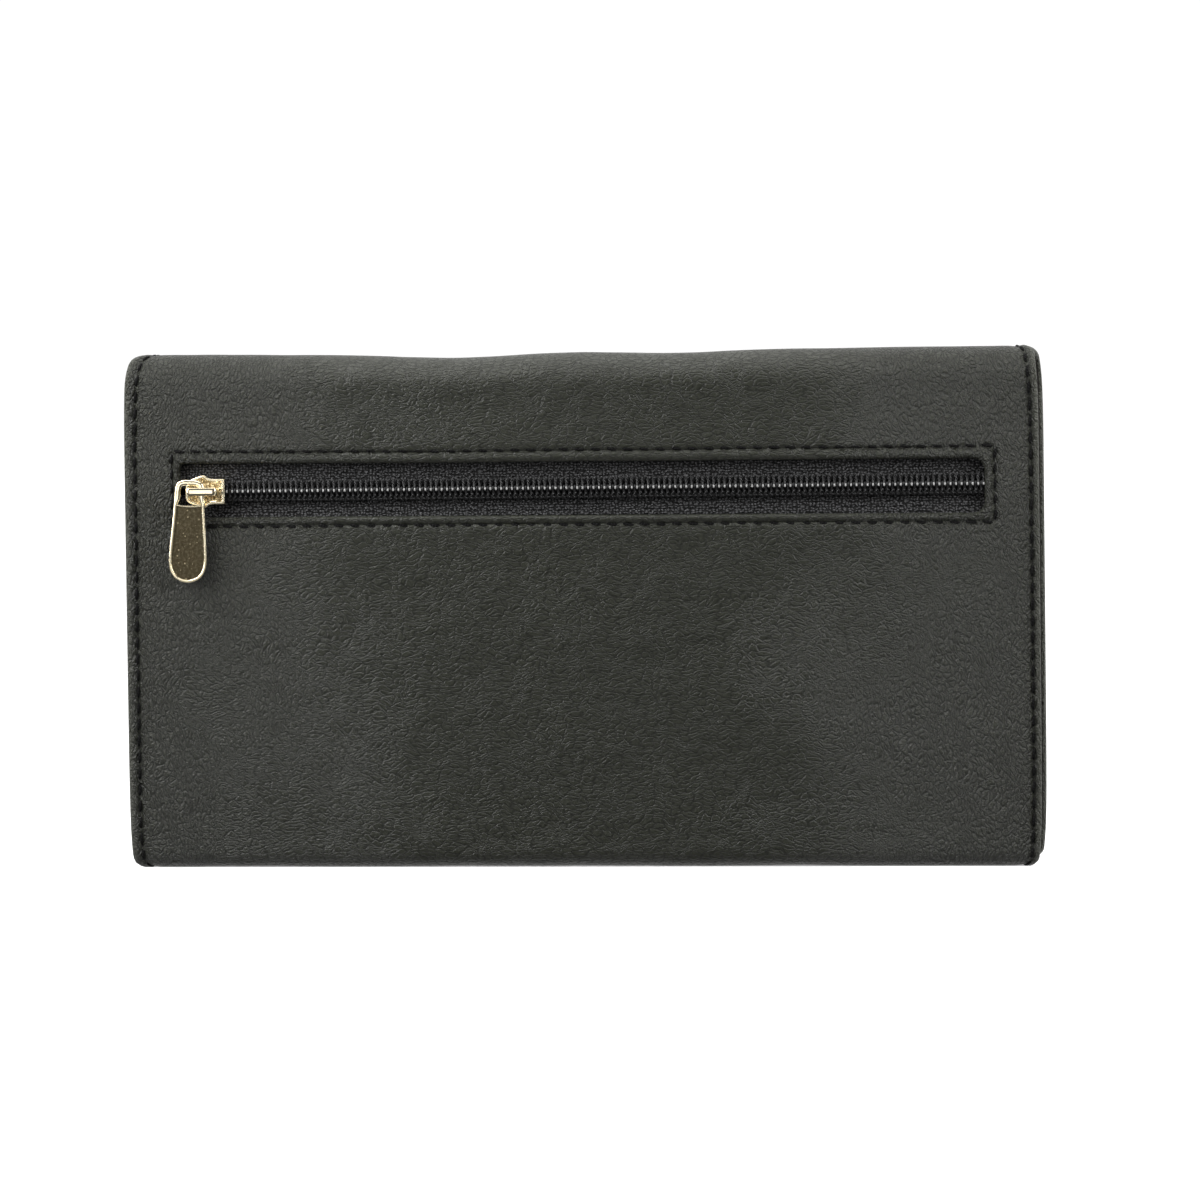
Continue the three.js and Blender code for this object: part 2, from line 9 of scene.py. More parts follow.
import bmesh
import bpy
import numpy as np
from mathutils import Euler, Vector, noise
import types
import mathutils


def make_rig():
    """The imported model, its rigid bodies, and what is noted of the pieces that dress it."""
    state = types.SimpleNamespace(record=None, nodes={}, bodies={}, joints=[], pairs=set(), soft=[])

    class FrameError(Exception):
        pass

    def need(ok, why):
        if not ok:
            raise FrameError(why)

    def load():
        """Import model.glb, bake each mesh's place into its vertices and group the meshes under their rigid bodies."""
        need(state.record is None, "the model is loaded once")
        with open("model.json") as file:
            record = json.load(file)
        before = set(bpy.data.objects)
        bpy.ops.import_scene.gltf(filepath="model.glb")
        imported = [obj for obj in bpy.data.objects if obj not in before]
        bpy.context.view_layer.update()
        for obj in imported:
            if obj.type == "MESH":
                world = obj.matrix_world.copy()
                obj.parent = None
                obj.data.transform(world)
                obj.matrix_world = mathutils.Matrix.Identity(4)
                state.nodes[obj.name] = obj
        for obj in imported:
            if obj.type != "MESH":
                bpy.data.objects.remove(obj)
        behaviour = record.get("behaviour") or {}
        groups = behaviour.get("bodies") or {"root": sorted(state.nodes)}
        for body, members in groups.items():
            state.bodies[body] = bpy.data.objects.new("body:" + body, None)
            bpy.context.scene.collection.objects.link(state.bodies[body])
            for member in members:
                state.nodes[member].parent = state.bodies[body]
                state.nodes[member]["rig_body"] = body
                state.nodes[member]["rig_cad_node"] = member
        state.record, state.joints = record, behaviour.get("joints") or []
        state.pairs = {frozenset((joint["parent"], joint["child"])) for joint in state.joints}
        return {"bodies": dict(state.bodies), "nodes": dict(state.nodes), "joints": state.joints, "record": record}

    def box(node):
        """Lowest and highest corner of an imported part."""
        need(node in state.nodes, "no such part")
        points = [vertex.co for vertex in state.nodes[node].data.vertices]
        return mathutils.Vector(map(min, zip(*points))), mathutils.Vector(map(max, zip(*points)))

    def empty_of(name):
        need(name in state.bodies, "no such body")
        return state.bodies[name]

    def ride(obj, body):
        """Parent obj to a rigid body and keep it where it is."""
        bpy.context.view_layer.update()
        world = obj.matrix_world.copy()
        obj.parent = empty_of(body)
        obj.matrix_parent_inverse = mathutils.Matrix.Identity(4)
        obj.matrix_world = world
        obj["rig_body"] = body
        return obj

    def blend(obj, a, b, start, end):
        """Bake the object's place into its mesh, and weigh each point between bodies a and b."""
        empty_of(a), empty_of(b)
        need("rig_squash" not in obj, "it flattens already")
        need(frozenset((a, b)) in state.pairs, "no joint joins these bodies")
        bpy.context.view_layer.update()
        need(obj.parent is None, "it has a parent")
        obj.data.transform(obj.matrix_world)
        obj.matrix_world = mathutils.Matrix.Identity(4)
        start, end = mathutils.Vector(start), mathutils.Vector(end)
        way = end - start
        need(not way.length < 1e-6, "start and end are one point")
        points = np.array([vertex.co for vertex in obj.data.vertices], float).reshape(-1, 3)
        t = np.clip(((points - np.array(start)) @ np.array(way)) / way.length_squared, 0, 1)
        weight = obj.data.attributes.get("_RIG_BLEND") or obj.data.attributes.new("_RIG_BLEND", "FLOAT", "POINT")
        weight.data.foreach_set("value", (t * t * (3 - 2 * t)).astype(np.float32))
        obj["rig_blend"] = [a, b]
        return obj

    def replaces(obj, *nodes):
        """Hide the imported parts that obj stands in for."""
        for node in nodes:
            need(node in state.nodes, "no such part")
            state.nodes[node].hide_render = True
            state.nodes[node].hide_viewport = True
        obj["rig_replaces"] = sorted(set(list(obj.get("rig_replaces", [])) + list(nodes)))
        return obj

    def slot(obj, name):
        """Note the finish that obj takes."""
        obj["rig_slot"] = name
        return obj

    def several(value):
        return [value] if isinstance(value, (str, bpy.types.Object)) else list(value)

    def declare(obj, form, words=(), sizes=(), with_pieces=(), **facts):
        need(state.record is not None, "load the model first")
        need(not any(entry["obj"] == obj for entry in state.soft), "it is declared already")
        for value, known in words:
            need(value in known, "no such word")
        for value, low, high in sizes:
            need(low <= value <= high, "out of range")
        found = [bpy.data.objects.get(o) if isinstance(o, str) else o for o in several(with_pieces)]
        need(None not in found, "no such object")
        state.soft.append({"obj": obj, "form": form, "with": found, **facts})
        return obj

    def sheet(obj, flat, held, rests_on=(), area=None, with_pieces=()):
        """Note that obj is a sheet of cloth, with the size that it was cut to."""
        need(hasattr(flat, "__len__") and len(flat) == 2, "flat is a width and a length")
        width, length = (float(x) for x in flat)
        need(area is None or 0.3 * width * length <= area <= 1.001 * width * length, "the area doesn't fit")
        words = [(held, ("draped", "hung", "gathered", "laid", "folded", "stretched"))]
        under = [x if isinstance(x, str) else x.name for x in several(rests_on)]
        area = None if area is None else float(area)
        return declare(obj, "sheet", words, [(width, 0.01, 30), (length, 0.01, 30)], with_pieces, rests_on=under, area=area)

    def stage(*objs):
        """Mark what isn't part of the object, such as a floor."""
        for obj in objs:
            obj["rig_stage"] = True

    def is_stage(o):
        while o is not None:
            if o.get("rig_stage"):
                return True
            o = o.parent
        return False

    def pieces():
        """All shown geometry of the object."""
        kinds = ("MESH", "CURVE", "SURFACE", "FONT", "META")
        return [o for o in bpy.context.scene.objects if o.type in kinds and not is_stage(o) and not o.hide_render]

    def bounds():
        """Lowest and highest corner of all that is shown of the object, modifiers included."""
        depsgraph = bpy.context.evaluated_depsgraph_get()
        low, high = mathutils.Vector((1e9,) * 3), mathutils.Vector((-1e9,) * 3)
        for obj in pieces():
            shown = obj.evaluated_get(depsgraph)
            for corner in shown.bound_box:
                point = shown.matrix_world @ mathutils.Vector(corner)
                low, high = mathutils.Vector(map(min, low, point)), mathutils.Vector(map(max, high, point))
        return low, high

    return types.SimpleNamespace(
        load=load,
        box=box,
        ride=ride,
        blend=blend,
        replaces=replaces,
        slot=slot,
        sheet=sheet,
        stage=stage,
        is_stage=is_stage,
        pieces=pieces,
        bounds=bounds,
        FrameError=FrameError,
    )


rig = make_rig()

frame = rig.load()
cad_low, cad_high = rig.bounds()

# ---- Dimensions, in millimetres ----

MM = 0.001  # metres


def box(node):
    """A CAD node's lowest and highest corners, in millimetres."""
    low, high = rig.box(node)
    return np.array(low) / MM, np.array(high) / MM


HALF_WIDTH = box("back_panel")[1][0]
TOP = box("top_panel")[1][2]
BACK = box("back_panel")[0][1]  # outer face of the back leather
FLAP = box("flap_panel")[1][1]  # outer face of the flap
FRONT = box("front_panel")[1][1]  # outer face of the front wall, under the flap
FLAP_HEM = box("flap_panel")[0][2]
FRONT_TOP = box("front_panel")[1][2]
TOP_BEND = 7.0  # outer radius of the fold over the top
BOTTOM_BEND = 3.0  # and of the fold under the bottom
LEATHER = 1.2  # thickness of the back and flap leather
FRONT_LEATHER = 1.0
HEM_SEAM = 2.2  # how far a leather hem's stitches lie from its edge
MIDDLE_TOP = (BACK + FLAP) / 2
MIDDLE_BOTTOM = (BACK + FRONT) / 2

LEFT_SEAM = -92.7  # X of the side seams
RIGHT_SEAM = 93.4
STITCH_PITCH = 3.4
THREAD = 0.29  # radius

ZIP_Z = (box("zip_slider")[0][2] + box("zip_slider")[1][2]) / 2
# The window in the back leather and the stitch line round it: left, right, bottom, top.
WINDOW = (-83.15, 83.9, 72.75, 83.8)
WINDOW_CORNERS = (1.0, 2.4)  # radii at its left and right ends
STITCHED = (-84.9, 86.1, 70.8, 86.4)
# Painted shade: a tape is darkened near its sewn edge, where the window's leather shades it.
TAPE_EDGE_SHADE = (0.4, 1.5)  # how far in from its sewn edge a tape is dark, and where it is clear
WINDOW_TILT = 0.36  # how far the window's ends stand above (left) and below (right) its middle
COIL_PITCH = 1.13  # from one tooth to the next
COIL_WIRE = 0.235  # radius
SLIDER_TRAVEL = 155  # from the closed end to the open one
PARTING_LENGTH = 32  # in which the halves draw apart
GUSSET_HALF = 0.19  # half the thickness of the gussets' cloth

rng = np.random.default_rng(7)

# ---- Meshes ----


def add_object(name, data):
    """A new object in the scene."""
    made = bpy.data.objects.new(name, data)
    bpy.context.scene.collection.objects.link(made)
    return made


class Shape:
    """Points, faces, UVs and material numbers gathered for one mesh."""

    def __init__(self):
        self.points = []
        self.faces = []
        self.uv = []
        self.slots = []
        self.count = 0

    def add(self, points, faces, uv=None, slots=0):
        points = np.asarray(points, float)
        self.points.append(points)
        self.uv.append(points[:, [0, 2]] if uv is None else np.asarray(uv, float))
        self.faces += [[i + self.count for i in face] for face in faces]
        self.slots += [slots] * len(faces) if isinstance(slots, int) else list(slots)
        self.count += len(points)
        return self

    def build(self, name, *materials, sharp=40):
        """The mesh object, with a map named rest that holds each point's place on the flat material."""
        mesh = bpy.data.meshes.new(name)
        points = np.concatenate(self.points) * MM
        mesh.from_pydata(points.tolist(), [], self.faces)
        for material in materials:
            mesh.materials.append(material)
        mesh.polygons.foreach_set("material_index", self.slots)
        layer = mesh.uv_layers.new(name="rest")
        corners = np.zeros(len(mesh.loops), int)
        mesh.loops.foreach_get("vertex_index", corners)
        uv = np.concatenate(self.uv) * MM
        layer.data.foreach_set("uv", uv[corners].astype(np.float32).ravel())
        work = bmesh.new()
        work.from_mesh(mesh)
        bmesh.ops.recalc_face_normals(work, faces=work.faces)
        work.to_mesh(mesh)
        work.free()
        mesh.polygons.foreach_set("use_smooth", [True] * len(mesh.polygons))
        mesh.set_sharp_from_angle(angle=math.radians(sharp))
        return add_object(name, mesh)


def skin(rings, loop=False):
    """Points and faces of a tube through closed rings of points, capped unless it is a loop."""
    rings = np.asarray(rings, float)
    count, around = rings.shape[:2]
    index = np.arange(count * around).reshape(count, around)
    rows = np.vstack([index, index[:1]]) if loop else index
    near, far = rows[:-1], rows[1:]
    quads = np.stack([near, np.roll(near, -1, 1), np.roll(far, -1, 1), far], -1).reshape(-1, 4)
    faces = quads.tolist()
    if not loop:
        faces += [index[0][::-1].tolist(), index[-1].tolist()]
    return rings.reshape(-1, 3), faces


def circle(sides):
    return np.linspace(0, 2 * np.pi, sides, endpoint=False)


def bell(distance, width):
    """1 at no distance, and dying away over about the width on both sides."""
    return np.exp(-((distance / width) ** 2))


def distances(points):
    """How far along a line of points each of them lies."""
    return np.concatenate([[0], np.cumsum(np.linalg.norm(np.diff(points, axis=0), axis=1))])


def unit(vectors):
    return vectors / np.maximum(np.linalg.norm(vectors, axis=-1, keepdims=True), 1e-9)


def along(points, loop=False):
    """The direction of a line of points at each of them."""
    if loop:
        return unit(np.roll(points, -1, 0) - np.roll(points, 1, 0))
    return unit(np.gradient(points, axis=0))


def sweep(points, across, section, scale=None, loop=False):
    """A section swept along a line. The section's first number runs along `across`, the second off it."""
    points = np.asarray(points, float)
    forward = along(points, loop)
    across = np.broadcast_to(np.asarray(across, float), points.shape)
    across = unit(across - forward * (across * forward).sum(1, keepdims=True))
    off = np.cross(forward, across)
    scale = np.ones((len(points), 2)) if scale is None else np.asarray(scale, float)
    first = across[:, None] * (section[None, :, :1] * scale[:, None, :1])
    second = off[:, None] * (section[None, :, 1:] * scale[:, None, 1:])
    return skin(points[:, None] + first + second, loop)


def round_section(radius, sides=6):
    angles = circle(sides)
    return radius * np.column_stack([np.cos(angles), np.sin(angles)])


def soft_rectangle(width, height, power, sides):
    """A rectangle with rounded corners, as a superellipse."""
    angles = circle(sides) + np.pi / sides
    c, s = np.cos(angles), np.sin(angles)
    size = (np.abs(c) ** power + np.abs(s) ** power) ** (-1 / power)
    return np.column_stack([c * size * width / 2, s * size * height / 2])


def ladder(*spans):
    """Rising values made of spans, each (start, end, longest step)."""
    values = [spans[0][0]]
    for start, end, step in spans:
        count = max(1, math.ceil((end - start) / step - 1e-6))
        values += list(np.linspace(start, end, count + 1)[1:])
    return np.array(values)


def ease(value, low, high):
    t = np.clip((np.asarray(value, float) - low) / (high - low), 0, 1)
    return t * t * (3 - 2 * t)


def waves(x, y, length, seed):
    """Smooth noise between -1 and 1, with features about `length` long."""
    x, y = np.broadcast_arrays(np.asarray(x, float), np.asarray(y, float))
    values = [noise.noise(Vector((a / length[0], b / length[1], seed))) for a, b in zip(x.ravel(), y.ravel())]
    return np.array(values).reshape(x.shape)


class Profile:
    """A path in Y and Z of straight runs and quarter-turn bends to the right, its outer face on the left."""

    def __init__(self, y, z, heading, *legs):
        self.legs = []
        self.length = 0.0
        place = np.array([y, z], float)
        heading = math.radians(heading)
        for kind, size in legs:
            length = size if kind == "run" else size * math.pi / 2
            self.legs.append((self.length, length, place, heading, kind, size))
            if kind == "run":
                place = place + size * np.array([math.cos(heading), math.sin(heading)])
            else:
                centre = place + size * np.array([math.sin(heading), -math.cos(heading)])
                heading -= math.pi / 2
                place = centre + size * np.array([-math.sin(heading), math.cos(heading)])
            self.length += length

    def at(self, s):
        """Points and outward normals, each one row of Y and Z for each distance along the path."""
        s = np.asarray(s, float)
        points, normals = np.zeros((len(s), 2)), np.zeros((len(s), 2))
        for begins, length, place, heading, kind, size in self.legs:
            here = (s >= begins - 1e-9) & (s <= begins + length + 1e-9)
            run = s[here] - begins
            turn = heading - (0 * run if kind == "run" else run / size)
            normal = np.column_stack([-np.sin(turn), np.cos(turn)])
            if kind == "run":
                points[here] = place + run[:, None] * np.array([math.cos(heading), math.sin(heading)])
            else:
                centre = place + size * np.array([math.sin(heading), -math.cos(heading)])
                points[here] = centre + size * normal
            normals[here] = normal
        return points, normals


def settled(points):
    """The slight unevenness of a sewn wallet: its top line dips twice, and its window sits a little askew."""
    points = np.array(points, float)
    x, z = points[:, 0], points[:, 2]
    dips = 1.0 * bell(x + 25, 18) + 0.55 * bell(x - 20, 14)
    dips = dips - 0.45 * ease(-x, 50, 85)
    askew = WINDOW_TILT * x / WINDOW[1] * bell(z - ZIP_Z, 16)
    points[:, 2] = z - dips * ease(z, 78, TOP) - askew
    return points


def gathered(z):
    """Half the wallet's width at a height, drawn in at the folds over the top and under the bottom."""
    z = np.asarray(z, float)
    pinch = 1.0 * np.exp(-(TOP - z) / 5) + 0.9 * np.exp(-z / 5)
    for distance, radius in ((TOP - z, 1.5), (z, 1.5)):
        inside = np.clip(radius - distance, 0, radius)
        pinch = pinch + radius - np.sqrt(radius**2 - inside**2)
    return HALF_WIDTH - pinch


class Slab:
    """A closed skin of leather, board or cloth along a profile, with rounded edges.

    `outline` gives half the width at each distance along the profile, and `relief` the height of the outer
    face at each X and distance. A hemmed end is rounded, and any other end butts against the next slab.
    """

    def __init__(self, profile, columns, rows, thickness, outline, relief, hems=(True, True), middle=0.0,
                 hole=None, settle=False, starts_at=0.0):
        self.profile = profile
        self.outline = outline
        self.middle = middle
        self.settle = settle
        self.half = float(outline(np.array([profile.length / 2]))[0])
        self.shape = Shape()
        edge = thickness / 2
        angles = np.linspace(0, np.pi, 6)[1:-1]
        columns = np.asarray(columns, float)
        n, k = len(columns), len(angles)
        arc = self.half - edge + edge * np.sin(angles)
        bow = edge * np.cos(angles) - edge
        x = np.concatenate([columns, arc, columns[::-1], -arc[::-1]])
        level = np.concatenate([np.zeros(n), bow, np.full(n, -thickness), bow[::-1]])
        rows = self.with_hems(np.asarray(rows, float), hems, edge)
        ends = np.minimum(rows if hems[0] else edge + 0 * rows, profile.length - rows if hems[1] else edge)
        full = np.sqrt(np.clip(1 - (1 - np.clip(ends / edge, 0, 1)) ** 2, 0.03, 1))
        xs, ss = np.meshgrid(x, rows)
        height = np.zeros(xs.shape)
        height[:, :n] = relief(xs[:, :n], ss[:, :n])
        offset = -edge + (level[None] + edge + height) * full[:, None]
        points = self.place(xs.ravel(), ss.ravel(), offset.ravel())
        around = 2 * (n + k)
        index = np.arange(len(rows) * around).reshape(len(rows), around)
        near, far = index[:-1], index[1:]
        quads = np.stack([near, np.roll(near, -1, 1), np.roll(far, -1, 1), far], -1)
        slots = np.zeros(quads.shape[:2], int)
        slots[:, n + k : 2 * n + k - 1] = 1
        keep = np.ones(quads.shape[:2], bool)
        if hole:
            j0, j1 = (int(np.argmin(np.abs(columns - v))) for v in hole[:2])
            i0, i1 = (int(np.argmin(np.abs(rows - v))) for v in hole[2:])
            keep[i0:i1, j0:j1] = False
            keep[i0:i1, 2 * n + k - 1 - j1 : 2 * n + k - 1 - j0] = False
            down, right = range(i0, i1), range(j0, j1)
            corners = [(i0, j) for j in right] + [(i, j1) for i in down]
            corners += [(i1, j) for j in reversed(range(j0 + 1, j1 + 1))]
            corners += [(i, j0) for i in reversed(range(i0 + 1, i1 + 1))]
            self.rim_outer = np.array([index[i, j] for i, j in corners])
            self.rim_inner = np.array([index[i, n + k + n - 1 - j] for i, j in corners])
            self.rim_flat = np.array([(columns[j], rows[i]) for i, j in corners])
        faces = quads[keep].tolist()
        slots = slots[keep].tolist()
        for row in (index[0], index[-1]):
            outer = row[: n + k]
            inner = np.roll(row, -(n + k))[: n + k][::-1]
            faces += [[int(v) for v in (outer[i], outer[i + 1], inner[i + 1], inner[i])]
                      for i in range(n + k - 1)]
            slots += [0] * (n + k - 1)
        self.shape.add(points, faces, np.column_stack([xs.ravel(), starts_at + ss.ravel()]), slots)

    def with_hems(self, rows, hems, edge):
        """The rows, with a few more where a hemmed end is rounded."""
        bend = edge * (1 - np.cos(np.radians([0, 25, 50, 75])))
        if hems[0]:
            rows = np.concatenate([bend, rows[rows > edge]])
        if hems[1]:
            rows = np.concatenate([rows[rows < self.profile.length - edge], self.profile.length - bend[::-1]])
        return rows

    def place(self, x, s, offset=0.0):
        """Where a point at X and distance s lies, standing `offset` proud of the outer face."""
        at, out = self.profile.at(s)
        narrow = self.outline(np.asarray(s, float)) / self.half
        flat = at + out * np.broadcast_to(np.asarray(offset, float), (len(at),))[:, None]
        points = np.column_stack([self.middle + x * narrow, flat])
        return settled(points) if self.settle else points

    def seam(self, threads, x, s, sunk=0.0, **stitch):
        """Stitches along a line of X and distance pairs on the outer face."""
        s = np.asarray(s, float)
        x = np.broadcast_to(np.asarray(x, float), s.shape)
        _, out = self.profile.at(s)
        normals = np.column_stack([np.zeros(len(s)), out])
        stitches(threads, self.place(x, s, sunk), normals, **stitch)


def stitches(threads, points, normals, pitch=STITCH_PITCH, share=0.7, radius=THREAD, proud=0.02, lean=0.09):
    """Lays stitches of thread along a line: each one rises from its hole, runs on and sinks again."""
    run = distances(points)
    count = max(1, round(run[-1] / pitch))
    step = run[-1] / count
    t = np.linspace(-0.5, 0.5, 9)
    for k in range(count):
        length = share * (1 + rng.uniform(-0.07, 0.07))
        where = np.clip((k + 0.5 + t * length) * step, 0, run[-1])
        line = np.column_stack([np.interp(where, run, points[:, i]) for i in range(3)])
        out = unit(np.column_stack([np.interp(where, run, normals[:, i]) for i in range(3)]))
        side = unit(np.cross(along(line), out))
        rise = -0.5 + (0.5 + proud) * np.cos(np.pi * t) ** 0.45
        line = line + out * rise[:, None] + side * (lean * 2 * t + rng.uniform(-0.04, 0.04))[:, None]
        size = np.repeat((1 - 0.35 * np.abs(2 * t) ** 4)[:, None], 2, 1)
        points_, faces = sweep(line, side, round_section(radius), size)
        threads.add(points_, faces, np.column_stack([np.repeat(where, 6), np.tile(np.arange(6) * 0.2, 9)]))


# ---- Materials ----


class Finish:
    """A node material in the making, round one Principled shader."""

    def __init__(self, name, **sockets):
        self.material = bpy.data.materials.new(name)
        self.material.use_nodes = True
        self.tree = self.material.node_tree
        self.shader = self.tree.nodes["Principled BSDF"]
        for socket, value in sockets.items():
            self.shader.inputs[socket.replace("_", " ")].default_value = value

    def node(self, kind, inputs=None, output=0, **settings):
        made = self.tree.nodes.new("ShaderNode" + kind)
        for name, value in settings.items():
            setattr(made, name, value)
        for socket, value in (inputs or {}).items():
            if isinstance(value, bpy.types.NodeSocket):
                self.tree.links.new(value, made.inputs[socket])
            else:
                made.inputs[socket].default_value = value
        return made.outputs[output]

    def math(self, operation, a, b=0.0, c=0.0):
        return self.node("Math", {0: a, 1: b, 2: c}, operation=operation)

    def add(self, a, b):
        return self.math("ADD", a, b)

    def times(self, a, b):
        return self.math("MULTIPLY", a, b)

    def place(self, stretch=(1, 1), turn=0.0):
        """The point on the flat material in millimetres, stretched and turned."""
        uv = self.node("UVMap", uv_map="rest")
        scale = (1000 * stretch[0], 1000 * stretch[1], 1)
        return self.node("Mapping", {"Vector": uv, "Rotation": (0, 0, math.radians(turn)), "Scale": scale})

    def parts(self, vector):
        split = self.tree.nodes.new("ShaderNodeSeparateXYZ")
        self.tree.links.new(vector, split.inputs[0])
        return split.outputs[0], split.outputs[1]

    def warped(self, vector, scale, amount):
        """The vector, shifted by a soft noise."""
        soft = self.node("TexNoise", {"Vector": vector, "Scale": scale, "Detail": 1.0}, 1,
                         noise_dimensions="2D")
        centred = self.node("VectorMath", {0: soft, 1: (0.5, 0.5, 0.5)}, operation="SUBTRACT")
        shift = self.node("VectorMath", {0: centred, 3: amount}, operation="SCALE")
        return self.node("VectorMath", {0: vector, 1: shift}, operation="ADD")

    def noise(self, vector, scale, detail=2.0, roughness=0.5):
        return self.node("TexNoise", {"Vector": vector, "Scale": scale, "Detail": detail,
                                      "Roughness": roughness}, noise_dimensions="2D")

    def step(self, value, low, high, to_low=0.0, to_high=1.0):
        return self.node("MapRange", {"Value": value, "From Min": low, "From Max": high, "To Min": to_low,
                                      "To Max": to_high}, interpolation_type="SMOOTHSTEP")

    def between(self, factor, a, b):
        """A colour between two others."""
        made = self.tree.nodes.new("ShaderNodeMix")
        made.data_type = "RGBA"
        self.tree.links.new(factor, made.inputs[0])
        for socket, value in ((made.inputs[6], a), (made.inputs[7], b)):
            if isinstance(value, bpy.types.NodeSocket):
                self.tree.links.new(value, socket)
            else:
                socket.default_value = (*value, 1)
        return made.outputs[2]

    def set(self, socket, value):
        self.tree.links.new(value, self.shader.inputs[socket])

    def bump(self, *layers):
        """Bump from layers of (height, depth in millimetres), one over the other."""
        normal = None
        for height, depth in layers:
            inputs = {"Height": height, "Distance": depth * MM, "Strength": 1.0}
            if normal is not None:
                inputs["Normal"] = normal
            normal = self.node("Bump", inputs)
        self.set("Normal", normal)


def creases(finish, place, stretch, turn, sharp=0.22):
    """The cells of a creased grain, 0 in the creases and 1 on the cells."""
    cells = finish.node("Mapping", {"Vector": place, "Rotation": (0, 0, math.radians(turn)),
                                    "Scale": (*stretch, 1)})
    edges = finish.node("TexVoronoi", {"Vector": cells, "Scale": 1.0, "Randomness": 1.0},
                        voronoi_dimensions="2D", feature="DISTANCE_TO_EDGE")
    return finish.step(edges, 0.0, sharp)


def outer_leather():
    """Dark olive-grey leather, semi-matt. Its fine creased grain runs across, and down at the ends; its creases carry
    painted shade, and its turned edges a painted highlight along with wear.
    """
    made = Finish("outer_leather", Specular_IOR_Level=0.42, IOR=1.5)
    flat = made.place()
    place = made.warped(made.warped(flat, 0.12, 3.2), 0.7, 0.9)
    across = creases(made, place, (0.5, 1.35), 3)
    down = creases(made, place, (1.35, 0.62), 14, 0.28)
    pebbles = creases(made, place, (1.8, 2.0), 30, 0.3)
    x, _ = made.parts(flat)
    ends = made.math("ABSOLUTE", x)
    patches = made.noise(flat, 0.035, 1)
    downward = made.step(made.add(made.times(ends, 0.013), patches), 1.2, 1.5)
    grain = made.node("Mix", {0: downward, 2: across, 3: down})
    fine = made.noise(flat, 2.6, 3, 0.6)
    height = made.add(made.times(grain, 0.62), made.times(pebbles, 0.22))
    height = made.add(height, made.times(fine, 0.5))
    # Painted shade: the grain's creases are coloured darker, where shade falls; the same mask leaves the raised cells
    # glossier, as if worn.
    crease_shade_and_wear = made.step(height, 0.35, 1.15)
    crisp = made.step(made.add(ends, made.times(patches, 50)), 55, 110, 0.48, 2.0)
    soft = made.noise(place, 0.22, 3, 0.55)
    made.bump((soft, 0.45), (made.times(height, crisp), 0.25))
    # Painted highlight and wear: the turned edges outside the side seams are coloured lighter, standing in for light
    # caught on the rounded edge as well as wear.
    turned = made.step(ends, HALF_WIDTH - 1.5, HALF_WIDTH - 0.5)
    patchy = made.between(patches, (0.03, 0.032, 0.0225), (0.038, 0.04, 0.0285))
    shaded = made.between(crease_shade_and_wear, (0.017, 0.018, 0.013), patchy)
    made.set("Base Color", made.between(turned, shaded, (0.055, 0.057, 0.044)))
    made.set("Roughness", made.step(made.add(crease_shade_and_wear, patches), 0.3, 1.5, 0.5, 0.32))
    return made.material


def inner_leather():
    """Smooth semi-matt leather for the card slots."""
    made = Finish("inner_leather", Specular_IOR_Level=0.35)
    flat = made.place()
    pores = creases(made, made.warped(flat, 0.5, 0.8), (1.5, 1.7), 15, 0.3)
    cloudy = made.noise(flat, 0.06, 3)
    made.bump((pores, 0.05), (made.noise(flat, 0.5, 2), 0.12))
    made.set("Base Color", made.between(cloudy, (0.013, 0.0132, 0.0118), (0.019, 0.019, 0.017)))
    made.set("Roughness", made.step(cloudy, 0.3, 0.8, 0.5, 0.6))
    return made.material


def leather_back():
    """The fleshy back of the leather."""
    made = Finish("leather_back", Roughness=0.95, Specular_IOR_Level=0.2)
    flat = made.place()
    fibres = made.noise(flat, 5.0, 4, 0.7)
    made.bump((fibres, 0.12))
    made.set("Base Color", made.between(fibres, (0.02, 0.019, 0.017), (0.045, 0.042, 0.038)))
    return made.material


def lining_twill():
    """Lining cloth: fine ribs at a slant, a little fuzzy."""
    made = Finish("lining_twill", Roughness=0.9, Specular_IOR_Level=0.25, Sheen_Weight=0.15)
    flat = made.place()
    x, y = made.parts(flat)
    ribs_to_the_mm = 1.1
    ribs = made.math("SINE", made.times(made.add(x, y), 2 * math.pi * ribs_to_the_mm))
    cloth = made.math("MULTIPLY_ADD", ribs, 0.5, 0.5)
    fuzz = made.noise(flat, 6.0, 3, 0.6)
    cloudy = made.noise(flat, 0.08, 2)
    made.bump((cloth, 0.1), (fuzz, 0.08))
    tone = made.add(made.times(cloth, 0.6), made.times(cloudy, 0.5))
    made.set("Base Color", made.between(tone, (0.006, 0.006, 0.0068), (0.024, 0.024, 0.026)))
    return made.material


def zip_tape_cloth():
    """Black woven zip tape: rows of small loops along the coil, uneven and a little fuzzy, with painted shade towards
    its sewn edge.
    """
    made = Finish("zip_tape_cloth", Roughness=0.7, Specular_IOR_Level=0.4)
    flat = made.place()
    cells = made.node("Mapping", {"Vector": made.warped(flat, 1.1, 0.5), "Scale": (1.5, 1.8, 1)})
    loops = made.node("TexVoronoi", {"Vector": cells, "Scale": 1.0, "Randomness": 0.6},
                      voronoi_dimensions="2D", feature="F1")
    knots = made.step(loops, 0.12, 0.6, 1.0, 0.0)
    fuzz = made.noise(flat, 1.8, 3, 0.7)
    weave = made.add(knots, made.times(fuzz, 0.8))
    made.bump((weave, 0.4))
    tone = made.step(weave, 0.65, 1.35)
    _, s = made.parts(flat)
    # Painted shade: darker towards the sewn edge, standing in for the shadow of the window's leather.
    sewn = made.step(s, TAPE_EDGE_SHADE[0], TAPE_EDGE_SHADE[1], 0.25, 1.0)
    tone = made.times(tone, sewn)
    made.set("Base Color", made.between(tone, (0.002, 0.002, 0.0021), (0.125, 0.125, 0.129)))
    return made.material


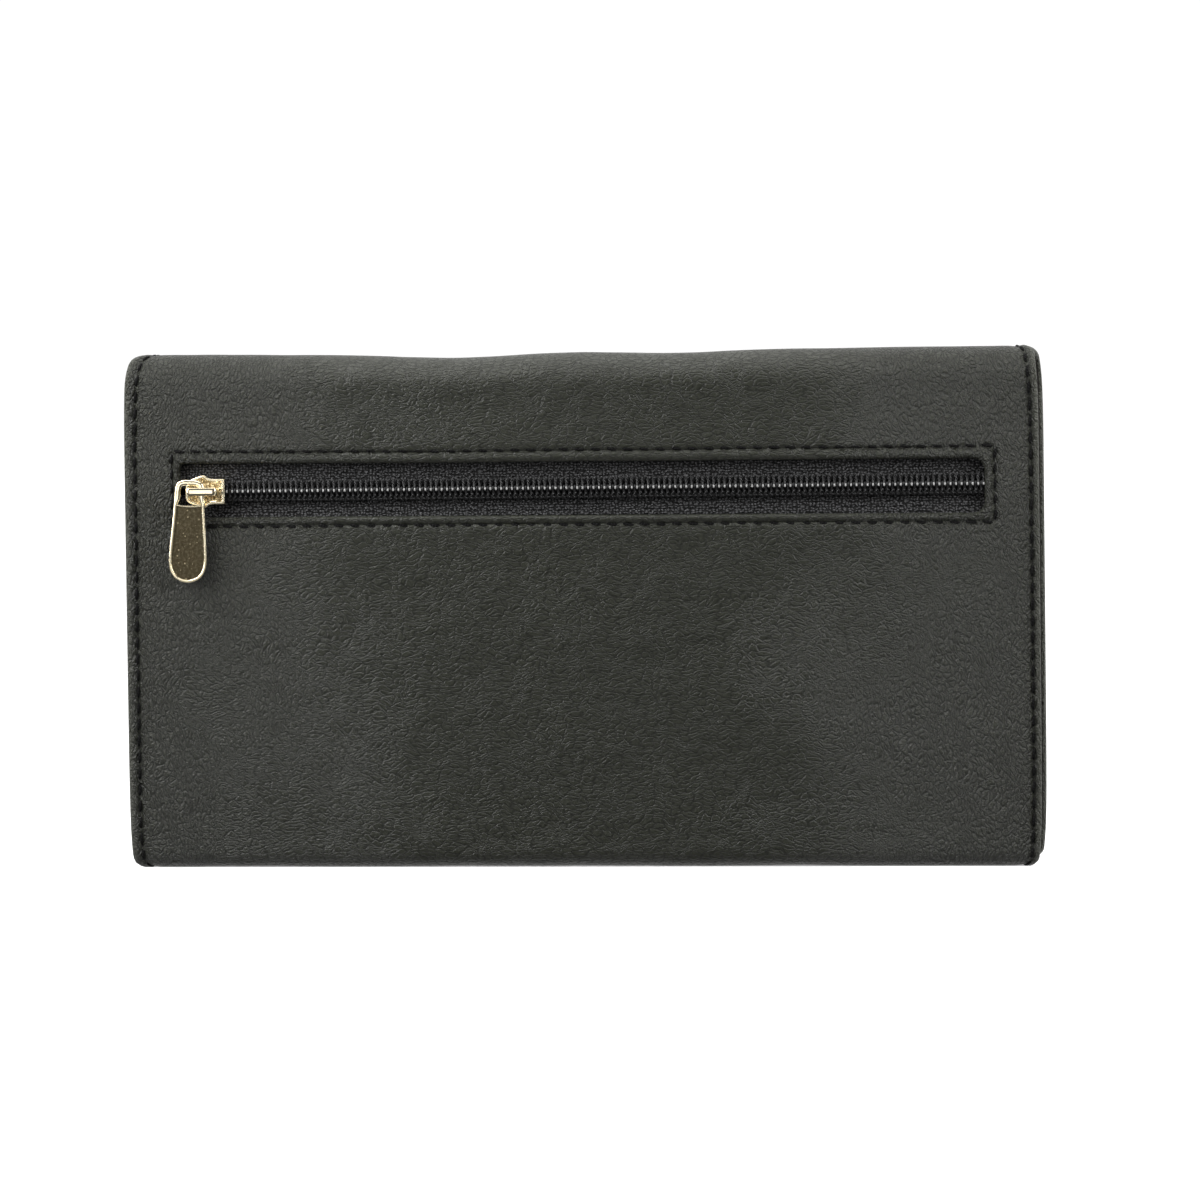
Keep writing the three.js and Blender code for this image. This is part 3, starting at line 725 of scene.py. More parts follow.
def nylon(name, painted_glints):
    """Black nylon monofilament. If asked, the upper half's heads are painted pale along their crests: a painted
    highlight that stands in for their glints.
    """
    made = Finish(name, Specular_IOR_Level=0.5)
    flat = made.place()
    turn, z = made.parts(flat)
    draw = made.noise(flat, 1.4, 2)
    made.set("Roughness", made.step(draw, 0.3, 0.7, 0.38, 0.52))
    body = made.between(draw, (0.005, 0.005, 0.0052), (0.016, 0.016, 0.0165))
    if painted_glints:
        # Painted highlight: the crests of the upper heads are painted pale, standing in for glints of light on the
        # nylon.
        tip = made.step(made.math("ABSOLUTE", made.math("SUBTRACT", z, ZIP_Z - 0.02)), 0.18, 0.34, 1.0, 0.0)
        crest = made.step(made.math("ABSOLUTE", turn), 0.12, 0.22, 1.0, 0.0)
        body = made.between(made.times(tip, crest), body, (0.58, 0.58, 0.57))
    made.set("Base Color", body)
    return made.material


def thread_yarn(name, dark, light):
    """Sewing thread with its ply."""
    made = Finish(name, Roughness=0.75, Specular_IOR_Level=0.15)
    flat = made.place()
    x, y = made.parts(flat)
    ply = made.math("SINE", made.times(made.add(x, y), 12.0))
    made.bump((ply, 0.05))
    made.set("Base Color", made.between(made.math("MULTIPLY_ADD", ply, 0.5, 0.5), dark, light))
    return made.material


def polished_gold():
    """Pale gold plate, polished."""
    made = Finish("polished_gold", Metallic=1.0)
    flat = made.place()
    haze = made.noise(flat, 0.9, 3)
    made.bump((haze, 0.02))
    made.set("Base Color", made.between(haze, (0.95, 0.82, 0.54), (1.0, 0.92, 0.7)))
    made.set("Roughness", made.step(haze, 0.3, 0.7, 0.12, 0.2))
    return made.material


def pitted_gold(name, dark, light, size, depth, roughness, specks=None):
    """Gold with a finely hammered face, or a dull one with a few bright specks."""
    made = Finish(name, Metallic=1.0)
    flat = made.place()
    dents = made.node("TexVoronoi", {"Vector": made.warped(flat, 1.2, 0.5), "Scale": size},
                      voronoi_dimensions="2D", feature="SMOOTH_F1")
    grit = made.noise(flat, 3.2, 4, 0.7)
    made.bump((made.add(dents, grit), depth))
    tone = made.step(made.noise(flat, 1.6, 4, 0.75), 0.42, 0.66)
    colour = made.between(tone, dark, light)
    if specks:
        grains = made.node("TexVoronoi", {"Vector": flat, "Scale": 0.75}, voronoi_dimensions="2D")
        few = made.step(made.noise(flat, 0.9, 1), 0.5, 0.56)
        bright = made.times(few, made.step(grains, 0.07, 0.15, 1.0, 0.0))
        colour = made.between(bright, colour, specks)
    made.set("Base Color", colour)
    made.set("Roughness", made.step(grit, 0.3, 0.7, roughness, roughness + 0.16))
    return made.material


def fibre_board():
    """Grey-brown bonded board, with flecks."""
    made = Finish("fibre_board", Roughness=0.95, Specular_IOR_Level=0.2)
    flat = made.place()
    flecks = made.noise(made.place((1, 0.35), 20), 1.6, 4, 0.7)
    made.bump((flecks, 0.06))
    cloudy = made.add(flecks, made.times(made.noise(flat, 0.08, 2), 0.5))
    tone = made.step(cloudy, 0.45, 1.0)
    made.set("Base Color", made.between(tone, (0.08, 0.07, 0.055), (0.17, 0.155, 0.13)))
    return made.material


def plain_steel():
    made = Finish("plain_steel", Metallic=1.0)
    flat = made.place()
    brushed = made.noise(made.place((4, 0.3), 0), 2.0, 3)
    made.bump((brushed, 0.01))
    made.set("Base Color", made.between(made.noise(flat, 0.4, 2), (0.42, 0.42, 0.43), (0.6, 0.6, 0.61)))
    made.set("Roughness", made.step(brushed, 0.3, 0.7, 0.28, 0.45))
    return made.material


def clear_film():
    made = Finish("clear_film", Alpha=0.25, Base_Color=(0.8, 0.83, 0.84, 1))
    scuffs = made.noise(made.place((0.3, 3), 15), 0.8, 3)
    made.bump((made.noise(made.place(), 0.1, 2), 0.2))
    made.set("Roughness", made.step(scuffs, 0.4, 0.7, 0.06, 0.2))
    return made.material


def dress(node, material):
    """Gives a CAD node that stays in view its material."""
    frame["nodes"][node].data.materials.clear()
    frame["nodes"][node].data.materials.append(material)


LEATHER_GRAIN = outer_leather()
SLOT_LEATHER = inner_leather()
LEATHER_BACK = leather_back()
LINING = lining_twill()
TAPE = zip_tape_cloth()
NYLON = {"upper": nylon("nylon_coil_painted_glints", True), "lower": nylon("nylon_coil", False)}
THREAD_BLACK = thread_yarn("black_thread", (0.0022, 0.0022, 0.0022), (0.008, 0.008, 0.008))
THREAD_TAPE = thread_yarn("zip_thread", (0.012, 0.012, 0.0122), (0.1, 0.1, 0.102))
GOLD = polished_gold()
GOLD_PITTED = pitted_gold("pitted_gold", (0.26, 0.18, 0.075), (0.9, 0.74, 0.44), 1.4, 0.16, 0.18)
GOLD_SPECKLED = pitted_gold("speckled_bronze", (0.095, 0.078, 0.046), (0.165, 0.137, 0.084), 2.2, 0.06, 0.32,
                            (0.6, 0.5, 0.3))
BOARD = fibre_board()
STEEL = plain_steel()
FILM = clear_film()

# ---- The outer leather ----

back_leather = Profile(
    MIDDLE_BOTTOM, 0, 180, ("run", MIDDLE_BOTTOM - BACK - BOTTOM_BEND), ("bend", BOTTOM_BEND),
    ("run", TOP - TOP_BEND - BOTTOM_BEND), ("bend", TOP_BEND), ("run", MIDDLE_TOP - BACK - TOP_BEND),
)
flap_leather = Profile(
    MIDDLE_TOP, TOP, 0, ("run", FLAP - TOP_BEND - MIDDLE_TOP), ("bend", TOP_BEND),
    ("run", TOP - TOP_BEND - FLAP_HEM),
)
front_leather = Profile(
    FRONT, FRONT_TOP, -90, ("run", FRONT_TOP - BOTTOM_BEND), ("bend", BOTTOM_BEND),
    ("run", FRONT - BOTTOM_BEND - MIDDLE_BOTTOM),
)
# On the back's flat wall, the distance along the leather is the height plus this.
BACK_FOOT = back_leather.legs[2][0] - BOTTOM_BEND
LEFT_COLUMNS = -ladder((0, 84.9, 1.6), (84.9, 86, 0.55), (86, 91.4, 1.3), (91.4, 92.1, 0.35),
                       (92.1, 93.3, 0.2), (93.3, 94.4, 0.3))
RIGHT_COLUMNS = ladder((0, 84.9, 1.6), (84.9, 86, 0.55), (86, 92.2, 1.3), (92.2, 92.8, 0.3),
                       (92.8, 94.0, 0.2), (94.0, 94.4, 0.2))
LEATHER_COLUMNS = np.concatenate([LEFT_COLUMNS[:0:-1], RIGHT_COLUMNS])


def seam_shift(profile, s):
    """How far the side seams run further in, towards the fold over the top."""
    z = profile.at(np.ravel(s))[0][:, 1]
    return (0.6 * np.exp(-(TOP - z) / 7)).reshape(np.shape(s))


def seam_relief(profile, x, s):
    """The groove of a side seam, and the fuller turned edge outside it."""
    beyond = np.where(x < 0, LEFT_SEAM - x, x - RIGHT_SEAM) + seam_shift(profile, s)
    groove = -0.26 * bell(beyond, 0.36) - 0.14 * bell(beyond, 1.3)
    return groove + 0.16 * bell(beyond - 1.2, 0.6)


def slack(profile, x, s, seed):
    """Soft unevenness of the leather between its seams, dying away where one panel runs on into the next."""
    calm = ease(HALF_WIDTH - np.abs(x), 1.5, 8) * ease(np.minimum(s, profile.length - s), 0, 6)
    uneven = 0.16 * waves(x, s, (22, 9), seed) + 0.06 * waves(x, s, (7, 3.5), seed + 5)
    return uneven * calm


def back_relief(x, s):
    """The back's face: seams, the stitched groove round the window, and the fullness of the zip behind it."""
    left, right, bottom, top = STITCHED
    z = s - BACK_FOOT
    outside = np.hypot(np.maximum(0, np.maximum(left - x, x - right)),
                       np.maximum(0, np.maximum(bottom - z, z - top)))
    groove = -0.2 * bell(outside, 0.4) - 0.05 * bell(outside, 1.5)
    full = 0.6 * (1 - np.abs(x / HALF_WIDTH) ** 6) * bell(z - ZIP_Z, 10)
    return seam_relief(back_leather, x, s) + groove + full + slack(back_leather, x, s, 1.5)


def hemmed_relief(profile, seed, hem_at):
    """Seams, unevenness, and a groove for the stitches that run along the hem."""
    def relief(x, s):
        groove = -0.28 * bell(s - hem_at, 0.4)
        return seam_relief(profile, x, s) + groove + slack(profile, x, s, seed)
    return relief


def folded_outline(profile):
    return lambda s: gathered(profile.at(s)[0][:, 1])


def turned_window(back):
    """The leather's edge round the window: a raised roll from the stitches to the window, turned inwards."""
    left, right, bottom, top = WINDOW
    flat = back.rim_flat
    radius = np.where(flat[:, 0] < 0, *WINDOW_CORNERS)
    core = np.column_stack([
        np.clip(flat[:, 0], left + radius, right - radius),
        np.clip(flat[:, 1], bottom + BACK_FOOT + radius, top + BACK_FOOT - radius),
    ])
    edge = core + radius[:, None] * unit(flat - core)
    roll = [(0.1, -0.12), (0.22, 0.04), (0.36, 0.21), (0.5, 0.31), (0.64, 0.33), (0.78, 0.24), (0.9, 0.04),
            (0.97, -0.2), (1.0, -0.5), (1.0, -0.85), (0.96, -1.1), (0.8, -1.2), (0.4, -1.2)]
    rows = [back.rim_outer]
    points, uv, faces = [], [], []
    base = back.shape.count
    for share, height in roll:
        at = flat + (edge - flat) * share
        wobble = 0.05 * waves(at[:, 0], at[:, 1], (5, 5), 9.5) if 0.05 < share < 0.95 else 0.0
        points.append(back.place(at[:, 0], at[:, 1], height + wobble))
        uv.append(at)
        rows.append(base + np.arange(len(at)))
        base += len(at)
    rows.append(back.rim_inner)
    for near, far in zip(rows[:-1], rows[1:]):
        faces += np.stack([near, np.roll(near, -1), np.roll(far, -1), far], -1).tolist()
    local = [[v - back.shape.count for v in face] for face in faces]
    back.shape.add(np.concatenate(points), local, np.concatenate(uv))


def window_seam(back, threads):
    """The stitches round the window, side by side, each side with its own run."""
    left, right, bottom, top = STITCHED
    low, high = bottom + BACK_FOOT, top + BACK_FOOT
    for start, end in (((left, high), (right, high)), ((right, high), (right, low)),
                       ((right, low), (left, low)), ((left, low), (left, high))):
        t = np.linspace(0, 1, 60)
        x = start[0] + (end[0] - start[0]) * t
        s = start[1] + (end[1] - start[1]) * t
        back.seam(threads, x, s, pitch=3.35, share=0.68, radius=0.32, proud=0.02, lean=0.16)


def make_outer_leather():
    columns = LEATHER_COLUMNS
    left, right, bottom, top = STITCHED
    near_corners = [left + d for d in (0.7, 1.5, 2.4, 3.4)] + [right - d for d in (0.7, 1.5, 2.4, 3.4, 4.6)]
    near_corners += [left, left - 0.5, left - 1.1, right, right + 0.5, right + 1.1]
    clear = columns[np.min(np.abs(columns[:, None] - np.array(near_corners)[None]), 1) > 0.28]
    columns = np.sort(np.concatenate([clear, near_corners]))
    low, high = bottom + BACK_FOOT, top + BACK_FOOT
    rows = ladder((0, low - 2.4, 1.1), (low - 2.4, low - 0.9, 0.75), (low - 0.9, low, 0.45),
                  (low, low + 4, 0.8), (low + 4, high - 4, 2), (high - 4, high, 0.8),
                  (high, high + 0.9, 0.45), (high + 0.9, high + 2.4, 0.75),
                  (high + 2.4, back_leather.length, 1.1))
    back = Slab(back_leather, columns, rows, LEATHER, folded_outline(back_leather), back_relief,
                (False, False), hole=(left, right, low, high), settle=True)
    turned_window(back)
    hem = flap_leather.length - HEM_SEAM
    flap = Slab(flap_leather, LEATHER_COLUMNS, ladder((0, hem - 1, 1.3), (hem - 1, flap_leather.length, 0.3)),
                LEATHER, folded_outline(flap_leather), hemmed_relief(flap_leather, 11.5, hem), (False, True),
                settle=True, starts_at=back_leather.length)
    front = Slab(front_leather, LEATHER_COLUMNS, ladder((0, 3.4, 0.3), (3.4, front_leather.length, 1.3)),
                 FRONT_LEATHER, folded_outline(front_leather), hemmed_relief(front_leather, 21.5, HEM_SEAM),
                 (True, False), settle=True, starts_at=-front_leather.length)
    finish_leather(back, flap, front)


def finish_leather(back, flap, front):
    """Builds the three leathers and their threads, and bends each one over its own fold."""
    over_back = dict(start=(0, BACK * MM, (TOP - TOP_BEND) * MM), end=(0, (BACK + TOP_BEND) * MM, TOP * MM))
    over_front = dict(start=(0, (FLAP - TOP_BEND) * MM, TOP * MM), end=(0, FLAP * MM, (TOP - TOP_BEND) * MM))
    under = dict(start=(0, (FRONT - BOTTOM_BEND) * MM, 0), end=(0, FRONT * MM, BOTTOM_BEND * MM))
    hem = flap_leather.length - HEM_SEAM
    across = np.linspace(LEFT_SEAM + 1.5, RIGHT_SEAM - 1.5, 120)
    # Name, slab, bodies, fold, the CAD nodes replaced, where the hem's seam is, how far in a side seam ends.
    plan = (
        ("back", back, ("root", "flap_top"), over_back, ("back_panel", "bottom_panel", "top_panel"), None,
         (1.2, 1.2)),
        ("flap", flap, ("flap_top", "flap"), over_front, ("flap_panel",), hem, (1.2, 2.4)),
        ("front", front, ("root", "front_wall"), under, ("front_panel",), HEM_SEAM, (2.4, 1.2)),
    )
    for name, slab, bodies, fold, nodes, hem_at, ends in plan:
        length = slab.profile.length
        piece = slab.shape.build(f"{name}_leather", LEATHER_GRAIN, LEATHER_BACK)
        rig.blend(piece, *bodies, **fold)
        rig.replaces(piece, *nodes)
        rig.slot(piece, "outer_leather")
        threads = Shape()
        s = np.linspace(ends[0], length - ends[1], 200)
        shift = seam_shift(slab.profile, s)
        for side in (LEFT_SEAM + shift, RIGHT_SEAM - shift):
            slab.seam(threads, side, s, -0.14)
        if hem_at is not None:
            slab.seam(threads, across, np.full(len(across), hem_at))
        sewn = threads.build(f"{name}_seam_threads", THREAD_BLACK)
        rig.blend(sewn, *bodies, **fold)
        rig.slot(sewn, "outer_leather")
        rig.sheet(piece, flat=(2 * HALF_WIDTH * MM, length * MM), held="stretched",
                 rests_on=["back_board"] if name == "back" else [], with_pieces=[sewn])
    threads = Shape()
    window_seam(back, threads)
    sewn = threads.build("window_seam_threads", THREAD_BLACK)
    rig.ride(sewn, "root")
    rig.slot(sewn, "outer_leather")


# ---- Flat layers inside ----


def flat_layer(node, facing, materials, corner=1.5, name=None, hem=0.0, *, slot, cloth, rests_on=()):
    """A flat CAD layer as a soft slab with rounded edges and corners, and a stitched hem where it has one."""
    low, high = box(node)
    width, height, thickness = high[0] - low[0], high[2] - low[2], high[1] - low[1]
    half = width / 2
    if facing > 0:
        profile = Profile(high[1], high[2], -90, ("run", height))
    else:
        profile = Profile(low[1], low[2], 90, ("run", height))

    def outline(s):
        near = np.minimum(s, height - s)
        inside = np.clip(corner - near, 0, corner)
        return half - corner + np.sqrt(np.maximum(corner**2 - inside**2, (0.05 * corner) ** 2))

    hem_at = hem if facing > 0 else height - hem

    def relief(x, s):
        soft = 0.06 * waves(x, s, (19, 13), low[0] + 3 * low[2])
        if hem:
            from_hem = s if facing > 0 else height - s
            soft = soft + 0.16 * (1 - ease(from_hem, hem + 0.5, hem + 1.1))
            soft = soft - 0.14 * bell(s - hem_at, 0.4)
        return soft

    step = 4.0
    inner = half - thickness / 2
    columns = ladder((-inner, -inner + 3, 1.0), (-inner + 3, inner - 3, step), (inner - 3, inner, 1.0))
    fine = ladder((0, max(3.6, hem + 1.6), 0.4), (max(3.6, hem + 1.6), height - 3.6, step),
                  (height - 3.6, height, 0.4))
    rows = fine if facing > 0 else height - fine[::-1]
    middle = (low[0] + high[0]) / 2
    slab = Slab(profile, columns, rows, thickness, outline, relief, middle=middle)
    piece = slab.shape.build(name or f"{node}_layer", *materials)
    riding = next(b for b, nodes in frame["record"]["behaviour"]["bodies"].items() if node in nodes)
    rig.ride(piece, riding)
    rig.replaces(piece, node)
    with_pieces = []
    if hem:
        threads = Shape()
        x = np.linspace(-half + 2, half - 2, 80)
        slab.seam(threads, x, np.full(80, hem_at), pitch=3.0, radius=0.17, proud=0.05)
        sewn = threads.build(f"{node}_threads", THREAD_BLACK)
        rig.ride(sewn, riding)
        with_pieces = [sewn]
    for one in [piece, *with_pieces]:
        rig.slot(one, slot)
    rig.sheet(piece, flat=(width * MM, height * MM), held=cloth, rests_on=list(rests_on),
             with_pieces=with_pieces)


def ribbon(name, points, across, width, thickness, materials):
    """A strip of cloth swept along a line."""
    section = soft_rectangle(width, thickness, 8, 28)
    made, faces = sweep(points, across, section)
    shape = Shape()
    run = distances(points)
    uv = np.column_stack([np.tile(section[:, 0], len(points)), np.repeat(run, len(section))])
    shape.add(made, faces, uv)
    return shape.build(name, *materials)


def make_pocket():
    """The bag behind the zip, of twill: two faces and one strip round its sides and bottom."""
    flat_layer("pocket_lining_front", -1, (LINING, LINING), name="pocket_bag_front", slot="lining_cloth",
               cloth="stretched", rests_on=["back_board"])
    flat_layer("pocket_lining_rear", -1, (LINING, LINING), name="pocket_bag_rear", slot="lining_cloth",
               cloth="stretched", rests_on=["inner_back_wall_layer"])
    left = box("pocket_side_left")
    right = box("pocket_side_right")
    floor = box("pocket_bottom")
    x0, x1 = (left[0][0] + left[1][0]) / 2, (right[0][0] + right[1][0]) / 2
    z0 = (floor[0][2] + floor[1][2]) / 2
    y = (floor[0][1] + floor[1][1]) / 2
    top = left[1][2]
    bend = 1.2
    turn = np.radians(np.linspace(0, 90, 6))
    line = [(x0, y, z) for z in np.linspace(top, z0 + bend, 12)]
    line += [(x0 + bend - bend * math.cos(t), y, z0 + bend - bend * math.sin(t)) for t in turn[1:]]
    line += [(x, y, z0) for x in np.linspace(x0 + bend, x1 - bend, 30)[1:]]
    line += [(x1 - bend + bend * math.sin(t), y, z0 + bend - bend * math.cos(t)) for t in turn[1:]]
    line += [(x1, y, z) for z in np.linspace(z0 + bend, top, 12)[1:]]
    depth = floor[1][1] - floor[0][1]
    strip = ribbon("pocket_bag_side_strip", np.array(line), (0, 1, 0), depth, 0.4, (LINING,))
    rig.ride(strip, "root")
    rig.replaces(strip, "pocket_bottom", "pocket_side_left", "pocket_side_right")
    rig.slot(strip, "lining_cloth")


def make_linings():
    twill = (LINING, LINING)
    for node, facing, held in (("front_lining", -1, "stretched"), ("flap_lining", -1, "stretched"),
                               ("inner_back_wall", 1, "stretched"), ("divider", 1, "hung")):
        flat_layer(node, facing, twill, slot="lining_cloth", cloth=held, hem=1.8)
    for node in ("back_board", "front_board", "flap_board"):
        dress(node, BOARD)
    for node, sag in (("bottom_lining", None), ("top_lining", settled)):
        low, high = box(node)
        z = (low[2] + high[2]) / 2
        line = np.array([(0, y, z) for y in np.linspace(low[1], high[1], 12)])
        cloth = long_strip(node, line, high[0] - low[0], high[2] - low[2], sag)
        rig.ride(cloth, "root" if node == "bottom_lining" else "flap_top")
        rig.replaces(cloth, node)
        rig.slot(cloth, "lining_cloth")
        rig.sheet(cloth, flat=((high[0] - low[0]) * MM, (high[1] - low[1]) * MM), held="stretched",
                 rests_on=["back_leather"])


def long_strip(node, line, width, thickness, sag):
    """A strip across the wallet, with enough columns along X to follow the leather's dips."""
    half = width / 2
    x = ladder((-half, half, 3.0))
    edge = thickness / 2
    rings = []
    for value in x:
        y = line[:, 1]
        upper = np.column_stack([np.full(len(y), value), y, np.full(len(y), line[0][2] + edge)])
        lower = np.column_stack([np.full(len(y), value), y[::-1], np.full(len(y), line[0][2] - edge)])
        rings.append(np.vstack([upper, lower]))
    points, faces = skin(rings)
    if sag is not None:
        points = sag(points)
    uv = np.column_stack([points[:, 0], points[:, 1]])
    return Shape().add(points, faces, uv).build(f"{node}_strip", LINING)


def make_card_slots():
    leathers = (SLOT_LEATHER, LEATHER_BACK)
    for side in ("left", "right"):
        for tier in (1, 2, 3):
            flat_layer(f"card_slot_{side}_{tier}", 1, leathers, 1.5, hem=2.0, slot="inner_leather",
                       cloth="stretched", rests_on=["inner_back_wall_layer"])
    for number in (1, 2):
        flat_layer(f"flap_card_slot_{number}", -1, leathers, 2.0, hem=2.0, slot="inner_leather",
                   cloth="stretched", rests_on=["flap_lining_layer"])
    make_id_window()


def make_id_window():
    """The leather frame round the clear film, swept round its opening, and the film itself."""
    low, high = box("id_frame")
    wide = 8.0
    middle = (low + high) / 2
    half = (high - low) / 2 - wide / 2
    outline = rounded_loop(half[0], half[2], 3.0)
    line = np.column_stack([middle[0] + outline[:, 0], np.full(len(outline), middle[1]),
                            middle[2] + outline[:, 1]])
    section = soft_rectangle(high[1] - low[1], wide, 6, 24)
    border = Shape().add(*sweep(line, (0, 1, 0), section, loop=True)).build("id_window_border", SLOT_LEATHER)
    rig.ride(border, "flap")
    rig.replaces(border, "id_frame")
    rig.slot(border, "inner_leather")
    threads = Shape()
    for offset in (wide / 2 - 1.5, -wide / 2 + 1.5):
        loop = rounded_loop(half[0] + offset, half[2] + offset, 3.0 + offset * 0.3)
        loop = np.vstack([loop, loop[:1]])
        path = np.column_stack([middle[0] + loop[:, 0], np.full(len(loop), low[1]), middle[2] + loop[:, 1]])
        stitches(threads, path, np.tile([0.0, -1.0, 0.0], (len(path), 1)), 3.0, radius=0.17, proud=0.08)
    sewn = threads.build("id_window_threads", THREAD_BLACK)
    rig.ride(sewn, "flap")
    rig.slot(sewn, "inner_leather")
    dress("id_film", FILM)


def rounded_loop(half_x, half_z, radius, steps=8, spacing=3.0):
    """A closed rectangle with round corners, as points in X and Z about its middle."""
    corners = []
    for sx, sz, first in ((1, 1, 0), (-1, 1, 90), (-1, -1, 180), (1, -1, 270)):
        angles = np.radians(np.linspace(first, first + 90, steps))
        centre = np.array([sx * (half_x - radius), sz * (half_z - radius)])
        corners.append(centre + radius * np.column_stack([np.cos(angles), np.sin(angles)]))
    points = []
    for i, arc in enumerate(corners):
        after = corners[(i + 1) % 4][0]
        count = max(2, int(np.linalg.norm(after - arc[-1]) / spacing))
        points += list(arc) + list(np.linspace(arc[-1], after, count + 1)[1:-1])
    return np.array(points)


def make_gussets():
    """The two W folds, soft at their creases, which unfold as the front wall spreads."""
    for side, sign in (("left", -1), ("right", 1)):
        low, high = box(f"gusset_{side}")
        outside, inside = (low[0] + 0.4, high[0] - 0.4) if sign < 0 else (high[0] - 0.4, low[0] + 0.4)
        count = 41
        t = np.linspace(0, 4, count)
        share = np.abs((t % 2) - 1)
        share = 0.5 + (share - 0.5) * 0.94
        x = inside + (outside - inside) * (0.5 + 0.5 * np.sin(np.pi * (share - 0.5)))
        y = low[1] + (high[1] - low[1]) * t / 4
        # Each end turns in along the wall that it is sewn to.
        flange = np.linspace(inside, outside, 6)[:-1]
        x = np.concatenate([flange, x, flange[::-1]])
        y = np.concatenate([np.full(5, low[1] - 0.06), y, np.full(5, high[1] + 0.08)])
        share = np.concatenate([np.ones(5), share, np.ones(5)])
        rings = []
        for z in ladder((low[2], high[2], 4.3)):
            slump = 0.35 * math.sin((z - low[2]) / 13 + sign)
            line = np.column_stack([x + slump * (1 - share), y, np.full(len(x), z)])
            forward = along(line)
            off = np.column_stack([-forward[:, 1], forward[:, 0], np.zeros(len(x))])
            rings.append(np.vstack([line + GUSSET_HALF * off, (line - GUSSET_HALF * off)[::-1]]))
        points, faces = skin(rings)
        run = distances(rings[0][:len(x)])
        u = np.tile(np.concatenate([run, run[::-1]]), len(rings))
        piece = Shape().add(points, faces, np.column_stack([u, points[:, 2]])).build(
            f"gusset_{side}_fold", LINING)
        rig.blend(piece, "root", "front_wall", start=(0, low[1] * MM, 0), end=(0, high[1] * MM, 0))
        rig.replaces(piece, f"gusset_{side}")
        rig.slot(piece, "lining_cloth")
        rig.sheet(piece, flat=(run[-1] * MM, (high[2] - low[2]) * MM), held="folded",
                 rests_on=["inner_back_wall_layer", "front_lining_layer"])


# ---- The zip ----


def make_tapes():
    """Each half's woven tape, split in the middle so that it stays together at both ends as it parts."""
    for half in ("upper", "lower"):
        low, high = box(f"zip_tape_{half}")
        height, thickness = high[2] - low[2], high[1] - low[1]
        for side, sign in (("left", -1), ("right", 1)):
            length = high[0]
            columns = ladder((-length / 2 + 0.2, length / 2 - 0.2, 1.5))
            profile = Profile(low[1], low[2], 90, ("run", height))
            inner = (lambda s: s) if half == "upper" else (lambda s: height - s)

            def relief(x, s, inner=inner):
                near = inner(s)
                return 0.08 * np.cos(2 * np.pi * near / 1.15) + 0.02 * waves(x, s, (2, 2), 4.5)

            slab = Slab(profile, columns, ladder((0, height, 0.29)), thickness,
                        lambda s, length=length: np.full(len(np.atleast_1d(s)), length / 2), relief,
                        middle=sign * length / 2)
            if half == "upper":
                slab.shape.uv = [uv * (1, -1) + (0, height) for uv in slab.shape.uv]
            tape = slab.shape.build(f"zip_tape_{half}_{side}", TAPE, TAPE)
            part_from_end(tape, half, sign)
            if side == "left":
                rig.replaces(tape, f"zip_tape_{half}")
            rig.slot(tape, "zip_tape")


def part_from_end(piece, half, sign):
    """The half draws aside from where it stays together: the window's left end, or the open slider's."""
    end = WINDOW[0] if sign < 0 else box("zip_slider")[0][0] + SLIDER_TRAVEL - 0.5
    whole = end - sign * PARTING_LENGTH
    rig.blend(piece, "root", f"zip_{half}", start=(end * MM, 0, 0), end=(whole * MM, 0, 0))


def coil_line(first, turns, half, y):
    """The path of one half's monofilament: over the front to a head at the middle, and back behind."""
    sign = 1 if half == "upper" else -1
    front, back = y - (0.12 if sign > 0 else 0.02), y + 0.26
    tooth = np.array([
        (0.00, front + 0.1, 1.95), (0.02, front, 1.35), (0.04, front - 0.08, 0.8), (0.06, front - 0.22, 0.3),
        (0.08, front - 0.3, 0.0), (0.10, front - 0.2, -0.3), (0.12, y, -0.48), (0.15, back, -0.2),
        (0.26, back, 0.7), (0.52, back, 1.45), (0.82, back - 0.02, 1.98), (1.02, y, 2.12),
    ])
    parts = []
    for k in turns:
        one = tooth.copy()
        one[:, 0] += first + k * COIL_PITCH + (0 if sign > 0 else COIL_PITCH / 2)
        one[:, 2] = ZIP_Z + sign * one[:, 2]
        parts.append(one)
    return np.concatenate(parts)


